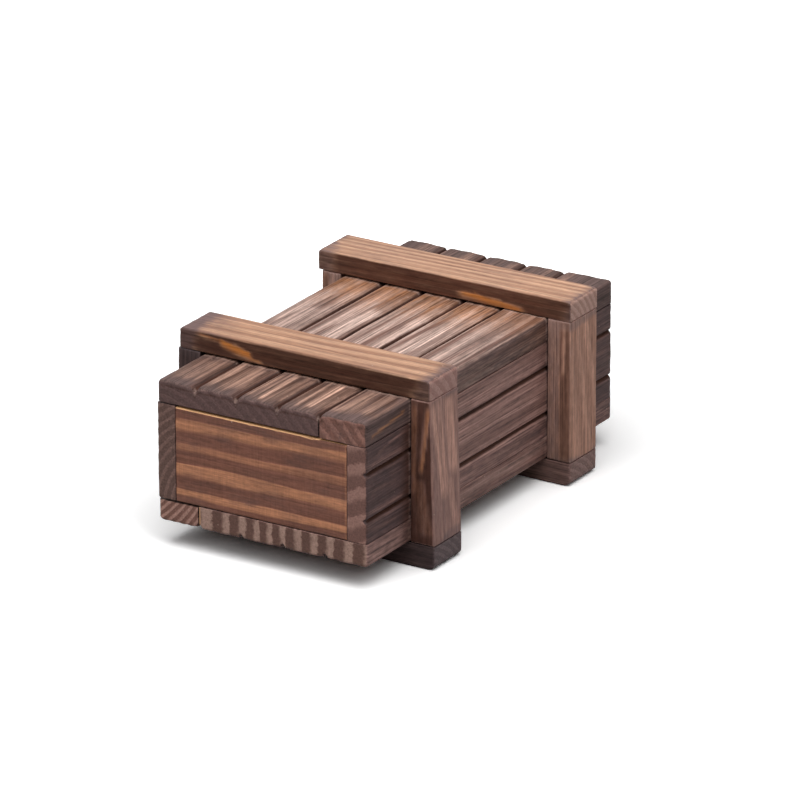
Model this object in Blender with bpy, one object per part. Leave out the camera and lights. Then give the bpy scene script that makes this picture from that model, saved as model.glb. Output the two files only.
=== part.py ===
"""A small flamed-pine puzzle crate with a hidden drawer.

The body lies along Y, its drawer front at the low-Y end, and stands on two feet at z = 0.
Two bands of battens hold the body together. Under them the lid, the key strip in the floor
and the drawer slide lengthwise, and a loose peg in the left wall locks all three.
"""
import math

import bmesh
import bpy
from mathutils import Vector

MM = 0.001

# Body, outside sizes
BODY_LENGTH = 95.0 * MM
BODY_WIDTH = 49.0 * MM
WALL_HEIGHT = 20.3 * MM
WALL_THICKNESS = 4.5 * MM
BACK_THICKNESS = 5.0 * MM
FLOOR_THICKNESS = 5.0 * MM
LID_THICKNESS = 5.2 * MM
KEY_WIDTH = 9.8 * MM
STRIP_WIDTH = 11.0 * MM

# Milled lines that make each board look like narrow planks
PLANK_WIDTH = 9.8 * MM
LID_PLANK_WIDTH = 9.6 * MM
WALL_LINE_RISE = 4.8 * MM
GROOVE_WIDTH = 1.8 * MM
GROOVE_DEPTH = 0.95 * MM

# Sanded edges of the body
LONG_EDGE_RADIUS = 0.8 * MM
CORNER_RADIUS = 0.9 * MM
END_RADIUS = 0.8 * MM
PANEL_RADIUS = 0.35 * MM

# What a groove or a round keeps where an end's rounding has worn it away
LEAST_STEP = 0.02 * MM

# Bands: one top batten, two uprights and one foot each
BATTEN_WIDTH = 10.7 * MM
UPRIGHT_THICKNESS = 5.5 * MM
TOP_BATTEN_THICKNESS = 4.5 * MM
FOOT_THICKNESS = 5.0 * MM
NEAR_BAND_INSET = 16.3 * MM
FAR_BAND_INSET = 15.5 * MM
FAR_LEFT_SET_IN = 0.8 * MM
BATTEN_EDGE_RADIUS = 0.5 * MM
BATTEN_SIDE_RADIUS = 0.4 * MM
BATTEN_END_RADIUS = 0.9 * MM
FOOT_END_RADIUS = 1.1 * MM

# Fits
GLUE_LINE = 0.1 * MM
RUN_GAP = 0.25 * MM
CUT_OVERRUN = 1.0 * MM

# Drawer
DRAWER_FRONT_THICKNESS = 5.0 * MM
DRAWER_SIDE_THICKNESS = 3.0 * MM
DRAWER_BACK_THICKNESS = 3.0 * MM
DRAWER_FLOOR_THICKNESS = 2.0 * MM
DRAWER_TOP_DROP = 1.0 * MM
DRAWER_REAR_GAP = 0.5 * MM
DRAWER_TRAVEL = 62.0 * MM

# Lid travel and the dowel that ends it
LID_TRAVEL = 25.0 * MM
DOWEL_RADIUS = 1.0 * MM
DOWEL_SETBACK = 60.0 * MM
DOWEL_DEPTH = 4.0 * MM
DOWEL_ENGAGEMENT = 1.5 * MM
DOWEL_SIDES = 24

# Lock: sliding the key strip lifts the peg
KEY_TRAVEL = 6.0 * MM
KEY_WEB = 1.25 * MM
TRENCH_WEB = 1.8 * MM
CHANNEL_WEB = 1.25 * MM
PEG_SETBACK = 12.5 * MM
PEG_DEPTH = 3.0 * MM
PEG_TIP = 1.0 * MM
NIB_RISE = 6.5 * MM
NIB_HEIGHT = 3.0 * MM

# Heights of the stack of boards
Z_BODY_LOW = FOOT_THICKNESS
Z_FLOOR_TOP = Z_BODY_LOW + FLOOR_THICKNESS
Z_WALL_TOP = Z_FLOOR_TOP + WALL_HEIGHT
Z_LID_TOP = Z_WALL_TOP + LID_THICKNESS
BODY_HEIGHT = Z_LID_TOP - Z_BODY_LOW

# Places across and along the body
X_SIDE = BODY_WIDTH / 2.0
X_INNER = X_SIDE - WALL_THICKNESS
X_KEY_SEAM = KEY_WIDTH - X_SIDE
X_STRIP_SEAM = X_SIDE - STRIP_WIDTH
X_DRAWER = X_INNER - RUN_GAP
Y_END = BODY_LENGTH / 2.0
Y_BACK_INNER = Y_END - BACK_THICKNESS
Y_PEG = PEG_SETBACK - Y_END
Y_DOWEL = DOWEL_SETBACK - Y_END
NEAR_BAND_Y = NEAR_BAND_INSET - Y_END
FAR_BAND_Y = Y_END - FAR_BAND_INSET - BATTEN_WIDTH

# Running parts leave a gap above and below
LID_LOW = Z_WALL_TOP + RUN_GAP
LID_HEIGHT = LID_THICKNESS - 2.0 * RUN_GAP
KEY_TOP = Z_FLOOR_TOP - RUN_GAP
KEY_HEIGHT = FLOOR_THICKNESS - 2.0 * RUN_GAP
RUNNER_SIDE = X_SIDE + GLUE_LINE - RUN_GAP
SEAM_GAP = RUN_GAP / 2.0

# The lock's sizes follow from the boards that it is cut into
POCKET_DEPTH = KEY_HEIGHT - KEY_WEB
PEG_LIFT = POCKET_DEPTH - RUN_GAP
RAMP_SLOPE = PEG_LIFT / KEY_TRAVEL
PEG_WIDTH = WALL_THICKNESS - TRENCH_WEB - 2.0 * RUN_GAP
PEG_INNER = X_INNER + RUN_GAP
PEG_LOW = KEY_TOP - POCKET_DEPTH + RUN_GAP
PEG_TOP = Z_WALL_TOP - RUN_GAP
NIB_REACH = DRAWER_SIDE_THICKNESS - CHANNEL_WEB - RUN_GAP
NIB_LOW = Z_FLOOR_TOP + NIB_RISE
NIB_TOP = NIB_LOW + NIB_HEIGHT

# Section edges: plain, rounded over, or half of the groove that hides a seam
SQUARE = "square"
ROUND = "round"
SEAM = "seam"

# Angles at which a quarter round is sampled
ROUND_ANGLES = (90.0, 60.0, 30.0, 0.0)

X = Vector((1.0, 0.0, 0.0))
Y = Vector((0.0, 1.0, 0.0))
Z = Vector((0.0, 0.0, 1.0))


def clear_scene():
    """Start from an empty file."""
    for thing in list(bpy.data.objects):
        bpy.data.objects.remove(thing, do_unlink=True)


def make_material(name, colour, roughness):
    """A plain wood finish: base colour and roughness, no metal."""
    material = bpy.data.materials.new(name)
    material.use_nodes = True
    shader = material.node_tree.nodes["Principled BSDF"]
    shader.inputs["Base Color"].default_value = (*colour, 1.0)
    shader.inputs["Roughness"].default_value = roughness
    shader.inputs["Metallic"].default_value = 0.0
    return material


def make_carrier(name, place):
    """An empty on a joint's axis, which carries the pieces that move together."""
    carrier = bpy.data.objects.new(name, None)
    carrier.empty_display_size = BATTEN_WIDTH
    carrier.location = place
    bpy.context.scene.collection.objects.link(carrier)
    return carrier


def make_object(name, bm, place, material, carrier=None):
    """Turn a bmesh into an object at a place in the world, under its carrier."""
    bmesh.ops.recalc_face_normals(bm, faces=bm.faces)
    mesh = bpy.data.meshes.new(name)
    bm.to_mesh(mesh)
    bm.free()
    mesh.materials.append(material)
    piece = bpy.data.objects.new(name, mesh)
    piece.location = place
    if carrier:
        piece.parent = carrier
        piece.location = place - carrier.location
    bpy.context.scene.collection.objects.link(piece)
    return piece


def skin_sections(sections):
    """Join equal rings of points into one closed body with flat ends."""
    bm = bmesh.new()
    rings = [[bm.verts.new(point) for point in section] for section in sections]
    for ring, following in zip(rings, rings[1:]):
        for index in range(len(ring)):
            after = (index + 1) % len(ring)
            bm.faces.new((ring[index], ring[after], following[after], following[index]))
    bm.faces.new(rings[0])
    bm.faces.new(rings[-1])
    return bm


def pulled_in(radius, offset):
    """How far a quarter round has pulled a face in, at this distance from the end."""
    if offset >= radius:
        return 0.0
    return radius - math.sqrt(radius ** 2 - (radius - offset) ** 2)


def end_offsets(radii):
    """Distances from a board's end at which its quarter rounds are sampled."""
    offsets = {0.0}
    for radius in radii:
        offsets.update(radius * (1.0 - math.sin(math.radians(angle))) for angle in ROUND_ANGLES)
    return sorted(offsets)


def edge_points(style, edge, inward, thickness, radius, face_in, side_in):
    """Points from a board's side up to its face, for one edge of the section.

    inward is +1 on the low side and -1 on the high side.
    """
    face = thickness - face_in
    if style == SQUARE:
        return [(edge, face)]
    if style == SEAM:
        left = max(GROOVE_DEPTH - face_in, LEAST_STEP)
        half_width = GROOVE_WIDTH / 2.0 * left / GROOVE_DEPTH
        return [(edge, face - left), (edge + inward * half_width, face)]
    reach = max(radius - side_in, LEAST_STEP)
    rise = max(radius - face_in, LEAST_STEP)
    centre = edge + inward * (side_in + reach)
    points = []
    for angle in reversed(ROUND_ANGLES):
        turn = math.radians(angle)
        points.append((centre - inward * reach * math.cos(turn),
                       face - rise * (1.0 - math.sin(turn))))
    return points


def groove_points(place, thickness, face_in):
    """A V-groove's three points, from its high side to its low side."""
    face = thickness - face_in
    left = max(GROOVE_DEPTH - face_in, LEAST_STEP)
    half_width = GROOVE_WIDTH / 2.0 * left / GROOVE_DEPTH
    return [(place + half_width, face), (place, face - left), (place - half_width, face)]


def board_outline(low, high, thickness, edges, grooves, radius, face_in, side_in):
    """The section of a board as (across, out) points, from its low inner corner round."""
    low_side = low + (side_in if edges[0] == ROUND else 0.0)
    high_side = high - (side_in if edges[1] == ROUND else 0.0)
    outline = [(low_side, 0.0), (high_side, 0.0)]
    outline += edge_points(edges[1], high, -1.0, thickness, radius, face_in, side_in)
    for place in sorted(grooves, reverse=True):
        outline += groove_points(place, thickness, face_in)
    outline += reversed(edge_points(edges[0], low, 1.0, thickness, radius, face_in, side_in))
    return outline


def make_board(name, material, origin, axes, across, thickness, along, edges=(SQUARE, SQUARE),
               grooves=(), radius=LONG_EDGE_RADIUS, end_radius=END_RADIUS,
               side_radius=CORNER_RADIUS, carrier=None):
    """A sawn board with milled grooves and sanded ends.

    axes are the board's own directions across it, out of its face and along it. across and
    along are the board's spans from its origin, and its face stands thickness out from there.
    The section is carried along the board, and drawn in over a quarter round at both ends.
    """
    offsets = end_offsets((end_radius, side_radius))
    stations = [(along[0] + offset, offset) for offset in offsets]
    stations += [(along[1] - offset, offset) for offset in reversed(offsets)]
    sections = []
    for station, offset in stations:
        face_in = pulled_in(end_radius, offset)
        side_in = pulled_in(side_radius, offset)
        outline = board_outline(across[0], across[1], thickness, edges, grooves, radius,
                                face_in, side_in)
        sections.append([axes[0] * u + axes[1] * v + axes[2] * station for u, v in outline])
    return make_object(name, skin_sections(sections), origin, material, carrier)


def make_prism(name, material, origin, axes, outline, along, carrier=None):
    """A straight body: an outline of (first, second) points carried along the third axis."""
    sections = [[axes[0] * u + axes[1] * v + axes[2] * w for u, v in outline] for w in along]
    return make_object(name, skin_sections(sections), origin, material, carrier)


def rectangle(low, high):
    """Corners of a rectangle between two opposite corners."""
    return [(low[0], low[1]), (high[0], low[1]), (high[0], high[1]), (low[0], high[1])]


def make_block(name, material, low, high, carrier=None):
    """A plain block between two opposite corners, in world coordinates."""
    centre = (Vector(low) + Vector(high)) / 2.0
    half = (Vector(high) - Vector(low)) / 2.0
    outline = rectangle((-half.x, -half.y), (half.x, half.y))
    return make_prism(name, material, centre, (X, Y, Z), outline, (-half.z, half.z), carrier)


def as_tool(piece):
    """Mark a body that only shapes another one."""
    piece.hide_render = True
    piece.display_type = "WIRE"
    return piece


def shape_with(piece, tool, operation="DIFFERENCE"):
    """Cut a tool out of a piece, or join it on."""
    modifier = piece.modifiers.new(tool.name, "BOOLEAN")
    modifier.operation = operation
    modifier.solver = "EXACT"
    modifier.object = as_tool(tool)


def milled_lines(first, pitch, low, high):
    """Places of milled lines from the first one on; a negative pitch counts downwards.

    Lines too close to the board's sides at low and high are left out.
    """
    planks = math.ceil((high - low) / abs(pitch))
    places = [first + pitch * index for index in range(planks + 1)]
    return [place for place in places if low + GROOVE_WIDTH < place < high - GROOVE_WIDTH]


def make_walls(wood):
    """The two long walls and the fixed panel at the far end. Only the right wall has lines."""
    height = (Z_FLOOR_TOP + GLUE_LINE, Z_WALL_TOP)
    lines = milled_lines(Z_FLOOR_TOP + WALL_LINE_RISE, PLANK_WIDTH, Z_FLOOR_TOP, Z_WALL_TOP)
    for name, side, edges, grooves in (("left_wall", -X, (ROUND, SQUARE), ()),
                                       ("right_wall", X, (SQUARE, SQUARE), lines)):
        make_board(name, wood["plank"], side * X_INNER, (Z, side, Y), height, WALL_THICKNESS,
                   (-Y_END, Y_END), edges, grooves, end_radius=CORNER_RADIUS)
    inside = X_INNER - GLUE_LINE
    make_board("back_panel", wood["front"], Y * Y_BACK_INNER, (X, Y, Z), (-inside, inside),
               BACK_THICKNESS, height, (ROUND, ROUND), radius=PANEL_RADIUS,
               end_radius=PANEL_RADIUS, side_radius=PANEL_RADIUS / 2.0)


def make_fixed_planks(wood):
    """The floor board and the narrow strip beside the lid."""
    make_board("floor_board", wood["plank"], Z * Z_FLOOR_TOP, (X, -Z, Y),
               (X_KEY_SEAM + SEAM_GAP, X_SIDE), FLOOR_THICKNESS - GLUE_LINE, (-Y_END, Y_END),
               (SEAM, ROUND), milled_lines(X_KEY_SEAM, PLANK_WIDTH, X_KEY_SEAM, X_SIDE))
    make_board("top_strip", wood["plank"], Z * (Z_WALL_TOP + GLUE_LINE), (X, Z, Y),
               (X_STRIP_SEAM + SEAM_GAP, X_SIDE), LID_THICKNESS - GLUE_LINE, (-Y_END, Y_END),
               (SEAM, ROUND), milled_lines(X_STRIP_SEAM, PLANK_WIDTH, X_STRIP_SEAM, X_SIDE))


def make_upright(name, wood, side, band_y, set_in):
    """One upright of a band, glued to the outside of a wall."""
    make_board(name, wood["batten"], side * (X_SIDE + GLUE_LINE), (Y, side, Z),
               (band_y, band_y + BATTEN_WIDTH), UPRIGHT_THICKNESS - GLUE_LINE - set_in,
               (Z_BODY_LOW + GLUE_LINE, Z_LID_TOP), (ROUND, ROUND), radius=BATTEN_EDGE_RADIUS,
               end_radius=BATTEN_SIDE_RADIUS / 2.0, side_radius=BATTEN_SIDE_RADIUS / 2.0)


def make_band(name, wood, band_y, left_set_in):
    """A band round the body: a top batten, two uprights and a foot."""
    reach = X_SIDE + UPRIGHT_THICKNESS
    width = (band_y, band_y + BATTEN_WIDTH)
    make_board(name + "_top_batten", wood["batten"], Z * (Z_LID_TOP + GLUE_LINE), (Y, Z, X),
               width, TOP_BATTEN_THICKNESS - GLUE_LINE, (-reach, reach), (ROUND, ROUND),
               radius=BATTEN_EDGE_RADIUS, end_radius=BATTEN_END_RADIUS,
               side_radius=BATTEN_SIDE_RADIUS)
    make_board(name + "_foot", wood["batten"], Z * FOOT_THICKNESS, (Y, -Z, X), width,
               FOOT_THICKNESS, (-reach, reach), (ROUND, ROUND), radius=BATTEN_EDGE_RADIUS,
               end_radius=FOOT_END_RADIUS, side_radius=BATTEN_SIDE_RADIUS)
    make_upright(name + "_left_upright", wood, -X, band_y, left_set_in)
    make_upright(name + "_right_upright", wood, X, band_y, 0.0)


def make_lid(wood):
    """The wide part of the top, which slides back under the two top battens."""
    carrier = make_carrier("lid_slide", Vector((0.0, 0.0, LID_LOW)))
    lid = make_board("sliding_lid", wood["plank"], Z * LID_LOW, (X, Z, Y),
                     (-RUNNER_SIDE, X_STRIP_SEAM - SEAM_GAP), LID_HEIGHT, (-Y_END, Y_END),
                     (ROUND, SEAM), milled_lines(X_STRIP_SEAM, -LID_PLANK_WIDTH, -X_SIDE, X_STRIP_SEAM),
                     carrier=carrier)
    reach = DOWEL_RADIUS + RUN_GAP
    middle = -X_SIDE + WALL_THICKNESS / 2.0
    slot = make_block("lid_slot_tool", wood["raw"],
                      (middle - reach, Y_DOWEL - LID_TRAVEL - reach, LID_LOW - CUT_OVERRUN),
                      (middle + reach, Y_DOWEL + reach, LID_LOW + DOWEL_ENGAGEMENT + RUN_GAP),
                      carrier)
    shape_with(lid, slot)
    mortise = make_block("lid_mortise_tool", wood["raw"],
                         (-PEG_INNER - PEG_WIDTH - RUN_GAP, Y_PEG - PEG_DEPTH / 2.0 - RUN_GAP,
                          LID_LOW - CUT_OVERRUN),
                         (RUN_GAP - PEG_INNER, Y_PEG + PEG_DEPTH / 2.0 + RUN_GAP,
                          PEG_TOP + PEG_LIFT + RUN_GAP), carrier)
    shape_with(lid, mortise)


def make_lid_dowel(wood):
    """The dowel that stands out of the left wall and ends the lid's travel."""
    low = Z_WALL_TOP - DOWEL_DEPTH
    top = LID_LOW + DOWEL_ENGAGEMENT
    middle = -X_SIDE + WALL_THICKNESS / 2.0
    sides = {"lid_stop_dowel": (DOWEL_RADIUS, low, top),
             "dowel_hole_tool": (DOWEL_RADIUS + GLUE_LINE, low - GLUE_LINE, top)}
    for name, (radius, start, end) in sides.items():
        bm = bmesh.new()
        bmesh.ops.create_cone(bm, cap_ends=True, segments=DOWEL_SIDES, radius1=radius,
                              radius2=radius, depth=end - start)
        round_body = make_object(name, bm, Vector((middle, Y_DOWEL, (start + end) / 2.0)),
                                 wood["raw"])
        round_body.data.shade_smooth()
        round_body.data.set_sharp_from_angle(angle=math.radians(ROUND_ANGLES[2]))
    shape_with(bpy.data.objects["left_wall"], bpy.data.objects["dowel_hole_tool"])


def make_key_strip(wood):
    """The narrow strip of the floor that slides forward and lifts the peg."""
    carrier = make_carrier("key_slide", Vector((X_KEY_SEAM - KEY_WIDTH / 2.0, 0.0, KEY_TOP)))
    key = make_board("key_strip", wood["plank"], Z * KEY_TOP, (X, -Z, Y),
                     (-RUNNER_SIDE, X_KEY_SEAM - SEAM_GAP), KEY_HEIGHT, (-Y_END, Y_END),
                     (ROUND, SEAM), milled_lines(X_KEY_SEAM, -PLANK_WIDTH, -X_SIDE, X_KEY_SEAM),
                     carrier=carrier)
    front = Y_PEG - PEG_DEPTH / 2.0 - RUN_GAP
    ramp_start = Y_PEG - PEG_DEPTH / 2.0 + PEG_TIP
    floor = KEY_TOP - POCKET_DEPTH
    above = KEY_TOP + CUT_OVERRUN
    ramp_end = ramp_start + (above - floor) / RAMP_SLOPE
    outline = [(front, floor), (ramp_start, floor), (ramp_end, above), (front, above)]
    pocket = make_prism("key_pocket_tool", wood["raw"], Vector((0.0, 0.0, 0.0)), (Y, Z, X),
                        outline, (-PEG_INNER - PEG_WIDTH - RUN_GAP, RUN_GAP - PEG_INNER), carrier)
    shape_with(key, pocket)


def make_peg(wood):
    """The loose peg in the left wall, with a nib that reaches into the drawer's side."""
    front = Y_PEG - PEG_DEPTH / 2.0
    back = Y_PEG + PEG_DEPTH / 2.0
    outer = -PEG_INNER - PEG_WIDTH
    carrier = make_carrier("peg_lift", Vector(((outer - PEG_INNER) / 2.0, Y_PEG, PEG_LOW)))
    slope_rise = (PEG_DEPTH - PEG_TIP) * RAMP_SLOPE
    outline = [(front, PEG_LOW), (front + PEG_TIP, PEG_LOW), (back, PEG_LOW + slope_rise),
               (back, PEG_TOP), (front, PEG_TOP)]
    peg = make_prism("lock_peg", wood["raw"], Vector((0.0, 0.0, 0.0)), (Y, Z, X), outline,
                     (outer, -PEG_INNER), carrier)
    nib = make_block("peg_nib_tool", wood["raw"], (outer, front, NIB_LOW),
                     (NIB_REACH - X_DRAWER, back, NIB_TOP), carrier)
    shape_with(peg, nib, "UNION")
    trench = make_block("peg_trench_tool", wood["raw"],
                        (outer - RUN_GAP, front - RUN_GAP, Z_FLOOR_TOP - CUT_OVERRUN),
                        (CUT_OVERRUN - X_INNER, back + RUN_GAP, Z_WALL_TOP + CUT_OVERRUN))
    shape_with(bpy.data.objects["left_wall"], trench)


def make_drawer_sides(wood, carrier, front, rear):
    """The drawer's two sides, the left one with the channel that the peg's nib runs in."""
    low = Z_FLOOR_TOP + RUN_GAP
    top = Z_WALL_TOP - DRAWER_TOP_DROP
    inside = X_DRAWER - DRAWER_SIDE_THICKNESS
    left = make_block("drawer_left_side", wood["raw"], (-X_DRAWER, front, low),
                      (-inside, rear, top), carrier)
    make_block("drawer_right_side", wood["raw"], (inside, front, low), (X_DRAWER, rear, top),
               carrier)
    start = Y_PEG - PEG_DEPTH / 2.0 - RUN_GAP
    end = Y_PEG + PEG_DEPTH / 2.0 + RUN_GAP
    depth = NIB_REACH + RUN_GAP - X_DRAWER
    outside = -X_DRAWER - CUT_OVERRUN
    channel = make_block("nib_channel_tool", wood["raw"], (outside, start, NIB_LOW - RUN_GAP),
                         (depth, end + DRAWER_TRAVEL, NIB_TOP + RUN_GAP), carrier)
    shape_with(left, channel)
    for name, shift in (("shut_pocket_tool", 0.0), ("open_pocket_tool", DRAWER_TRAVEL)):
        pocket = make_block(name, wood["raw"], (outside, start + shift, NIB_LOW),
                            (depth, end + shift, NIB_TOP + PEG_LIFT + RUN_GAP), carrier)
        shape_with(left, pocket)


def make_drawer(wood):
    """The hidden drawer: a thick front that fills the end of the body, and a box behind it."""
    low = Z_FLOOR_TOP + RUN_GAP
    carrier = make_carrier("drawer_slide", Vector((0.0, -Y_END, low)))
    face = Y_END - DRAWER_FRONT_THICKNESS
    make_board("drawer_front", wood["front"], -Y * face, (X, -Y, Z), (-X_DRAWER, X_DRAWER),
               DRAWER_FRONT_THICKNESS, (low, Z_WALL_TOP - RUN_GAP), (ROUND, ROUND),
               radius=PANEL_RADIUS, end_radius=PANEL_RADIUS, side_radius=PANEL_RADIUS / 2.0,
               carrier=carrier)
    front = GLUE_LINE - face
    rear = Y_BACK_INNER - DRAWER_REAR_GAP
    make_drawer_sides(wood, carrier, front, rear)
    inside = X_DRAWER - DRAWER_SIDE_THICKNESS - GLUE_LINE
    floor_top = low + DRAWER_FLOOR_THICKNESS
    make_block("drawer_floor", wood["raw"], (-inside, front, low), (inside, rear, floor_top),
               carrier)
    make_block("drawer_back", wood["raw"],
               (-inside, rear - DRAWER_BACK_THICKNESS, floor_top + GLUE_LINE),
               (inside, rear, Z_WALL_TOP - DRAWER_TOP_DROP), carrier)


def main():
    """Build the crate."""
    clear_scene()
    wood = {
        "plank": make_material("flamed_plank", (0.145, 0.082, 0.058), 0.62),
        "batten": make_material("flamed_batten", (0.165, 0.085, 0.045), 0.58),
        "front": make_material("flamed_panel", (0.155, 0.072, 0.036), 0.6),
        "raw": make_material("raw_pine", (0.62, 0.43, 0.25), 0.7),
    }
    make_walls(wood)
    make_fixed_planks(wood)
    make_band("near", wood, NEAR_BAND_Y, 0.0)
    make_band("far", wood, FAR_BAND_Y, FAR_LEFT_SET_IN)
    make_lid(wood)
    make_lid_dowel(wood)
    make_key_strip(wood)
    make_peg(wood)
    make_drawer(wood)


main()
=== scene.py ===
# %% [markdown]
# # A puzzle crate in flamed pine
#
# The crate is 95 mm long. Its body is made of planks that were scorched with a flame and then
# brushed along the grain, and two bands of battens hold it together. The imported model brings
# the exact solids and how they move. This notebook dresses them: each board becomes a finer
# surface with milled lines, worn edges and its own run of growth rings.

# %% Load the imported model
import itertools
import math

import bpy
import numpy as np
from mathutils import Matrix, Vector


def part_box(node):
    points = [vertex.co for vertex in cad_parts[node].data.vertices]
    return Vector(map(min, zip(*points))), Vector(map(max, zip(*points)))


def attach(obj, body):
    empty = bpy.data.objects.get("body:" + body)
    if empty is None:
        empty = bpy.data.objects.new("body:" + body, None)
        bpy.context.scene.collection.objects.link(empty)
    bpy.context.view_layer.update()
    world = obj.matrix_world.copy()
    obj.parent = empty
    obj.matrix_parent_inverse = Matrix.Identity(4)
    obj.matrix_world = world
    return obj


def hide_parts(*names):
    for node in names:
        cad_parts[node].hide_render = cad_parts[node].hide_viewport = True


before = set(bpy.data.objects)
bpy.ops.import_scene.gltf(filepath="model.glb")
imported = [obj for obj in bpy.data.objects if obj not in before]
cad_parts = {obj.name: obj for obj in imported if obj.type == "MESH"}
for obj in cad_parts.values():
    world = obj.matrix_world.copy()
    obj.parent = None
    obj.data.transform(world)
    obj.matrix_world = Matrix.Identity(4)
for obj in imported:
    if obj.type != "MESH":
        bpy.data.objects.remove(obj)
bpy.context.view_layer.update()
MM = 0.001
print("solids:", len(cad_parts))

# %% [markdown]
# ## Camera
#
# The photograph is a product view from far away with a long lens, so parallel edges hardly
# converge. The camera is given as a turn round the crate, a height above the floor, a small
# roll and a distance, which is how a photographer would set it. A long lens at 1.65 m keeps
# the same perspective as the photograph.

# %% Place the camera
AZIMUTH, ELEVATION, ROLL = (math.radians(angle) for angle in (31.732, 21.158, -0.085))
TARGET = Vector((-0.556, 5.5, 18.03)) * MM
DISTANCE = 1650.0 * MM
LENS_MM = 368.07
CLIP_FAR = 20.0


def camera_axes(azimuth, elevation, roll):
    """Right, up and back directions of a camera that looks down at the crate.

    Back is the point of the unit sphere at that azimuth and elevation. Right is level, and
    the roll turns right and up round back.
    """
    back = Vector((math.sin(azimuth) * math.cos(elevation),
                   -math.cos(azimuth) * math.cos(elevation), math.sin(elevation)))
    right = Vector((0.0, 0.0, 1.0)).cross(back).normalized()
    up = back.cross(right)
    return (right * math.cos(roll) + up * math.sin(roll),
            up * math.cos(roll) - right * math.sin(roll), back)


axes = camera_axes(AZIMUTH, ELEVATION, ROLL)
camera = bpy.data.objects.new("camera", bpy.data.cameras.new("camera"))
camera.data.lens = LENS_MM
camera.data.clip_end = CLIP_FAR
camera.rotation_mode = "QUATERNION"
camera.rotation_quaternion = Matrix(axes).transposed().to_quaternion()
camera.location = TARGET + axes[2] * DISTANCE
bpy.context.scene.collection.objects.link(camera)
bpy.context.scene.camera = camera
bpy.context.scene.view_settings.view_transform = "Standard"
print("camera at", [round(value, 3) for value in camera.location])

# %% [markdown]
# ## Studio
#
# The crate stands on white under a broad soft light that hangs above it. Vertical faces get
# about half the light of the tops. The floor is plain: its colour is lifted to white only for
# rays from the camera and for reflections, so it keeps the crate's shadow and doesn't flood
# the crate with light from below. That colour rises with the distance from the crate, because
# the lamps reach less far. The world does the same for whatever lies beyond the floor.

# %% Small helpers for shader trees
NODE = "ShaderNode"


def put(tree, kind, values=(), **settings):
    """Add a node. Each value is a constant, or another node's output, which is linked."""
    made = tree.nodes.new(NODE + kind)
    for key, setting in settings.items():
        setattr(made, key, setting)
    for key, value in dict(values).items():
        if isinstance(value, bpy.types.NodeSocket):
            tree.links.new(value, made.inputs[key])
        else:
            made.inputs[key].default_value = value
    return made


def maths(tree, operation, *values, clamp=False):
    """One arithmetic step; returns its result."""
    return put(tree, "Math", dict(enumerate(values)), operation=operation, use_clamp=clamp).outputs[0]


def times(tree, first, second):
    """A product."""
    return maths(tree, "MULTIPLY", first, second)


def line(tree, value, slope, start):
    """Slope times the value, plus start."""
    return maths(tree, "MULTIPLY_ADD", value, slope, start)


def less(tree, whole, part):
    """Whole minus part."""
    return maths(tree, "SUBTRACT", whole, part)


def mix_colours(tree, share, first, second, mode="MIX"):
    """First colour where the share is 0 and second where it is 1."""
    made = put(tree, "Mix", {0: share, 6: first, 7: second}, data_type="RGBA", blend_type=mode)
    return made.outputs[2]


def tint(tree, colour, factor):
    """A colour times a number or another colour."""
    return mix_colours(tree, 1.0, colour, factor, "MULTIPLY")


def rays(tree):
    """Two numbers, 0 or 1: is a ray from the camera, and was it reflected or bent?"""
    path = put(tree, "LightPath").outputs
    return path["Is Camera Ray"], maths(tree, "MAXIMUM", path["Is Glossy Ray"], path["Is Transmission Ray"])


# %% Floor and world
FLOOR_SEEN = 1.25
FLOOR_FAR = 12.0
RISE_FROM = 0.10
RISE_TO = 1.0
FLOOR_MIRRORED = 0.8
FLOOR_LIGHT = 0.30
WORLD_LIGHT = 0.08
FLOOR_HALF = 4.0


def grey(level):
    """A neutral colour with full alpha."""
    return (level, level, level, 1.0)


floor_mesh = bpy.data.meshes.new("studio_floor")
corners = np.array([[-1, -1, 0], [1, -1, 0], [1, 1, 0], [-1, 1, 0]]) * FLOOR_HALF
floor_mesh.from_pydata(corners.tolist(), [], [(0, 1, 2, 3)])
floor = bpy.data.objects.new("studio_floor", floor_mesh)
bpy.context.scene.collection.objects.link(floor)

floor_paint = bpy.data.materials.new("white_floor")
floor_paint.use_nodes = True
tree = floor_paint.node_tree
tree.nodes.clear()
from_camera, mirrored = rays(tree)
place = put(tree, "TexCoord").outputs["Object"]
away = put(tree, "VectorMath", {0: place}, operation="LENGTH").outputs[1]
seen = put(tree, "MapRange", {"Value": away, "From Min": RISE_FROM, "From Max": RISE_TO,
                              "To Min": FLOOR_SEEN, "To Max": FLOOR_FAR}).outputs[0]
paint = mix_colours(tree, mirrored, grey(FLOOR_LIGHT), grey(FLOOR_MIRRORED))
paint = mix_colours(tree, from_camera, paint, seen)
matte = put(tree, "BsdfDiffuse", {"Color": paint})
put(tree, "OutputMaterial", {"Surface": matte.outputs[0]})
floor_mesh.materials.append(floor_paint)

world = bpy.data.worlds.new("white_studio")
world.use_nodes = True
bpy.context.scene.world = world
tree = world.node_tree
tree.nodes.clear()
seen = maths(tree, "MAXIMUM", *rays(tree))
level = put(tree, "MapRange", {"Value": seen, "To Min": WORLD_LIGHT, "To Max": 1.0})
glow = put(tree, "Background", {"Color": grey(1.0), "Strength": level.outputs[0]})
put(tree, "OutputWorld", {"Surface": glow.outputs[0]})
print("floor and world are white to the camera, and light the crate at", FLOOR_LIGHT, WORLD_LIGHT)

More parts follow.
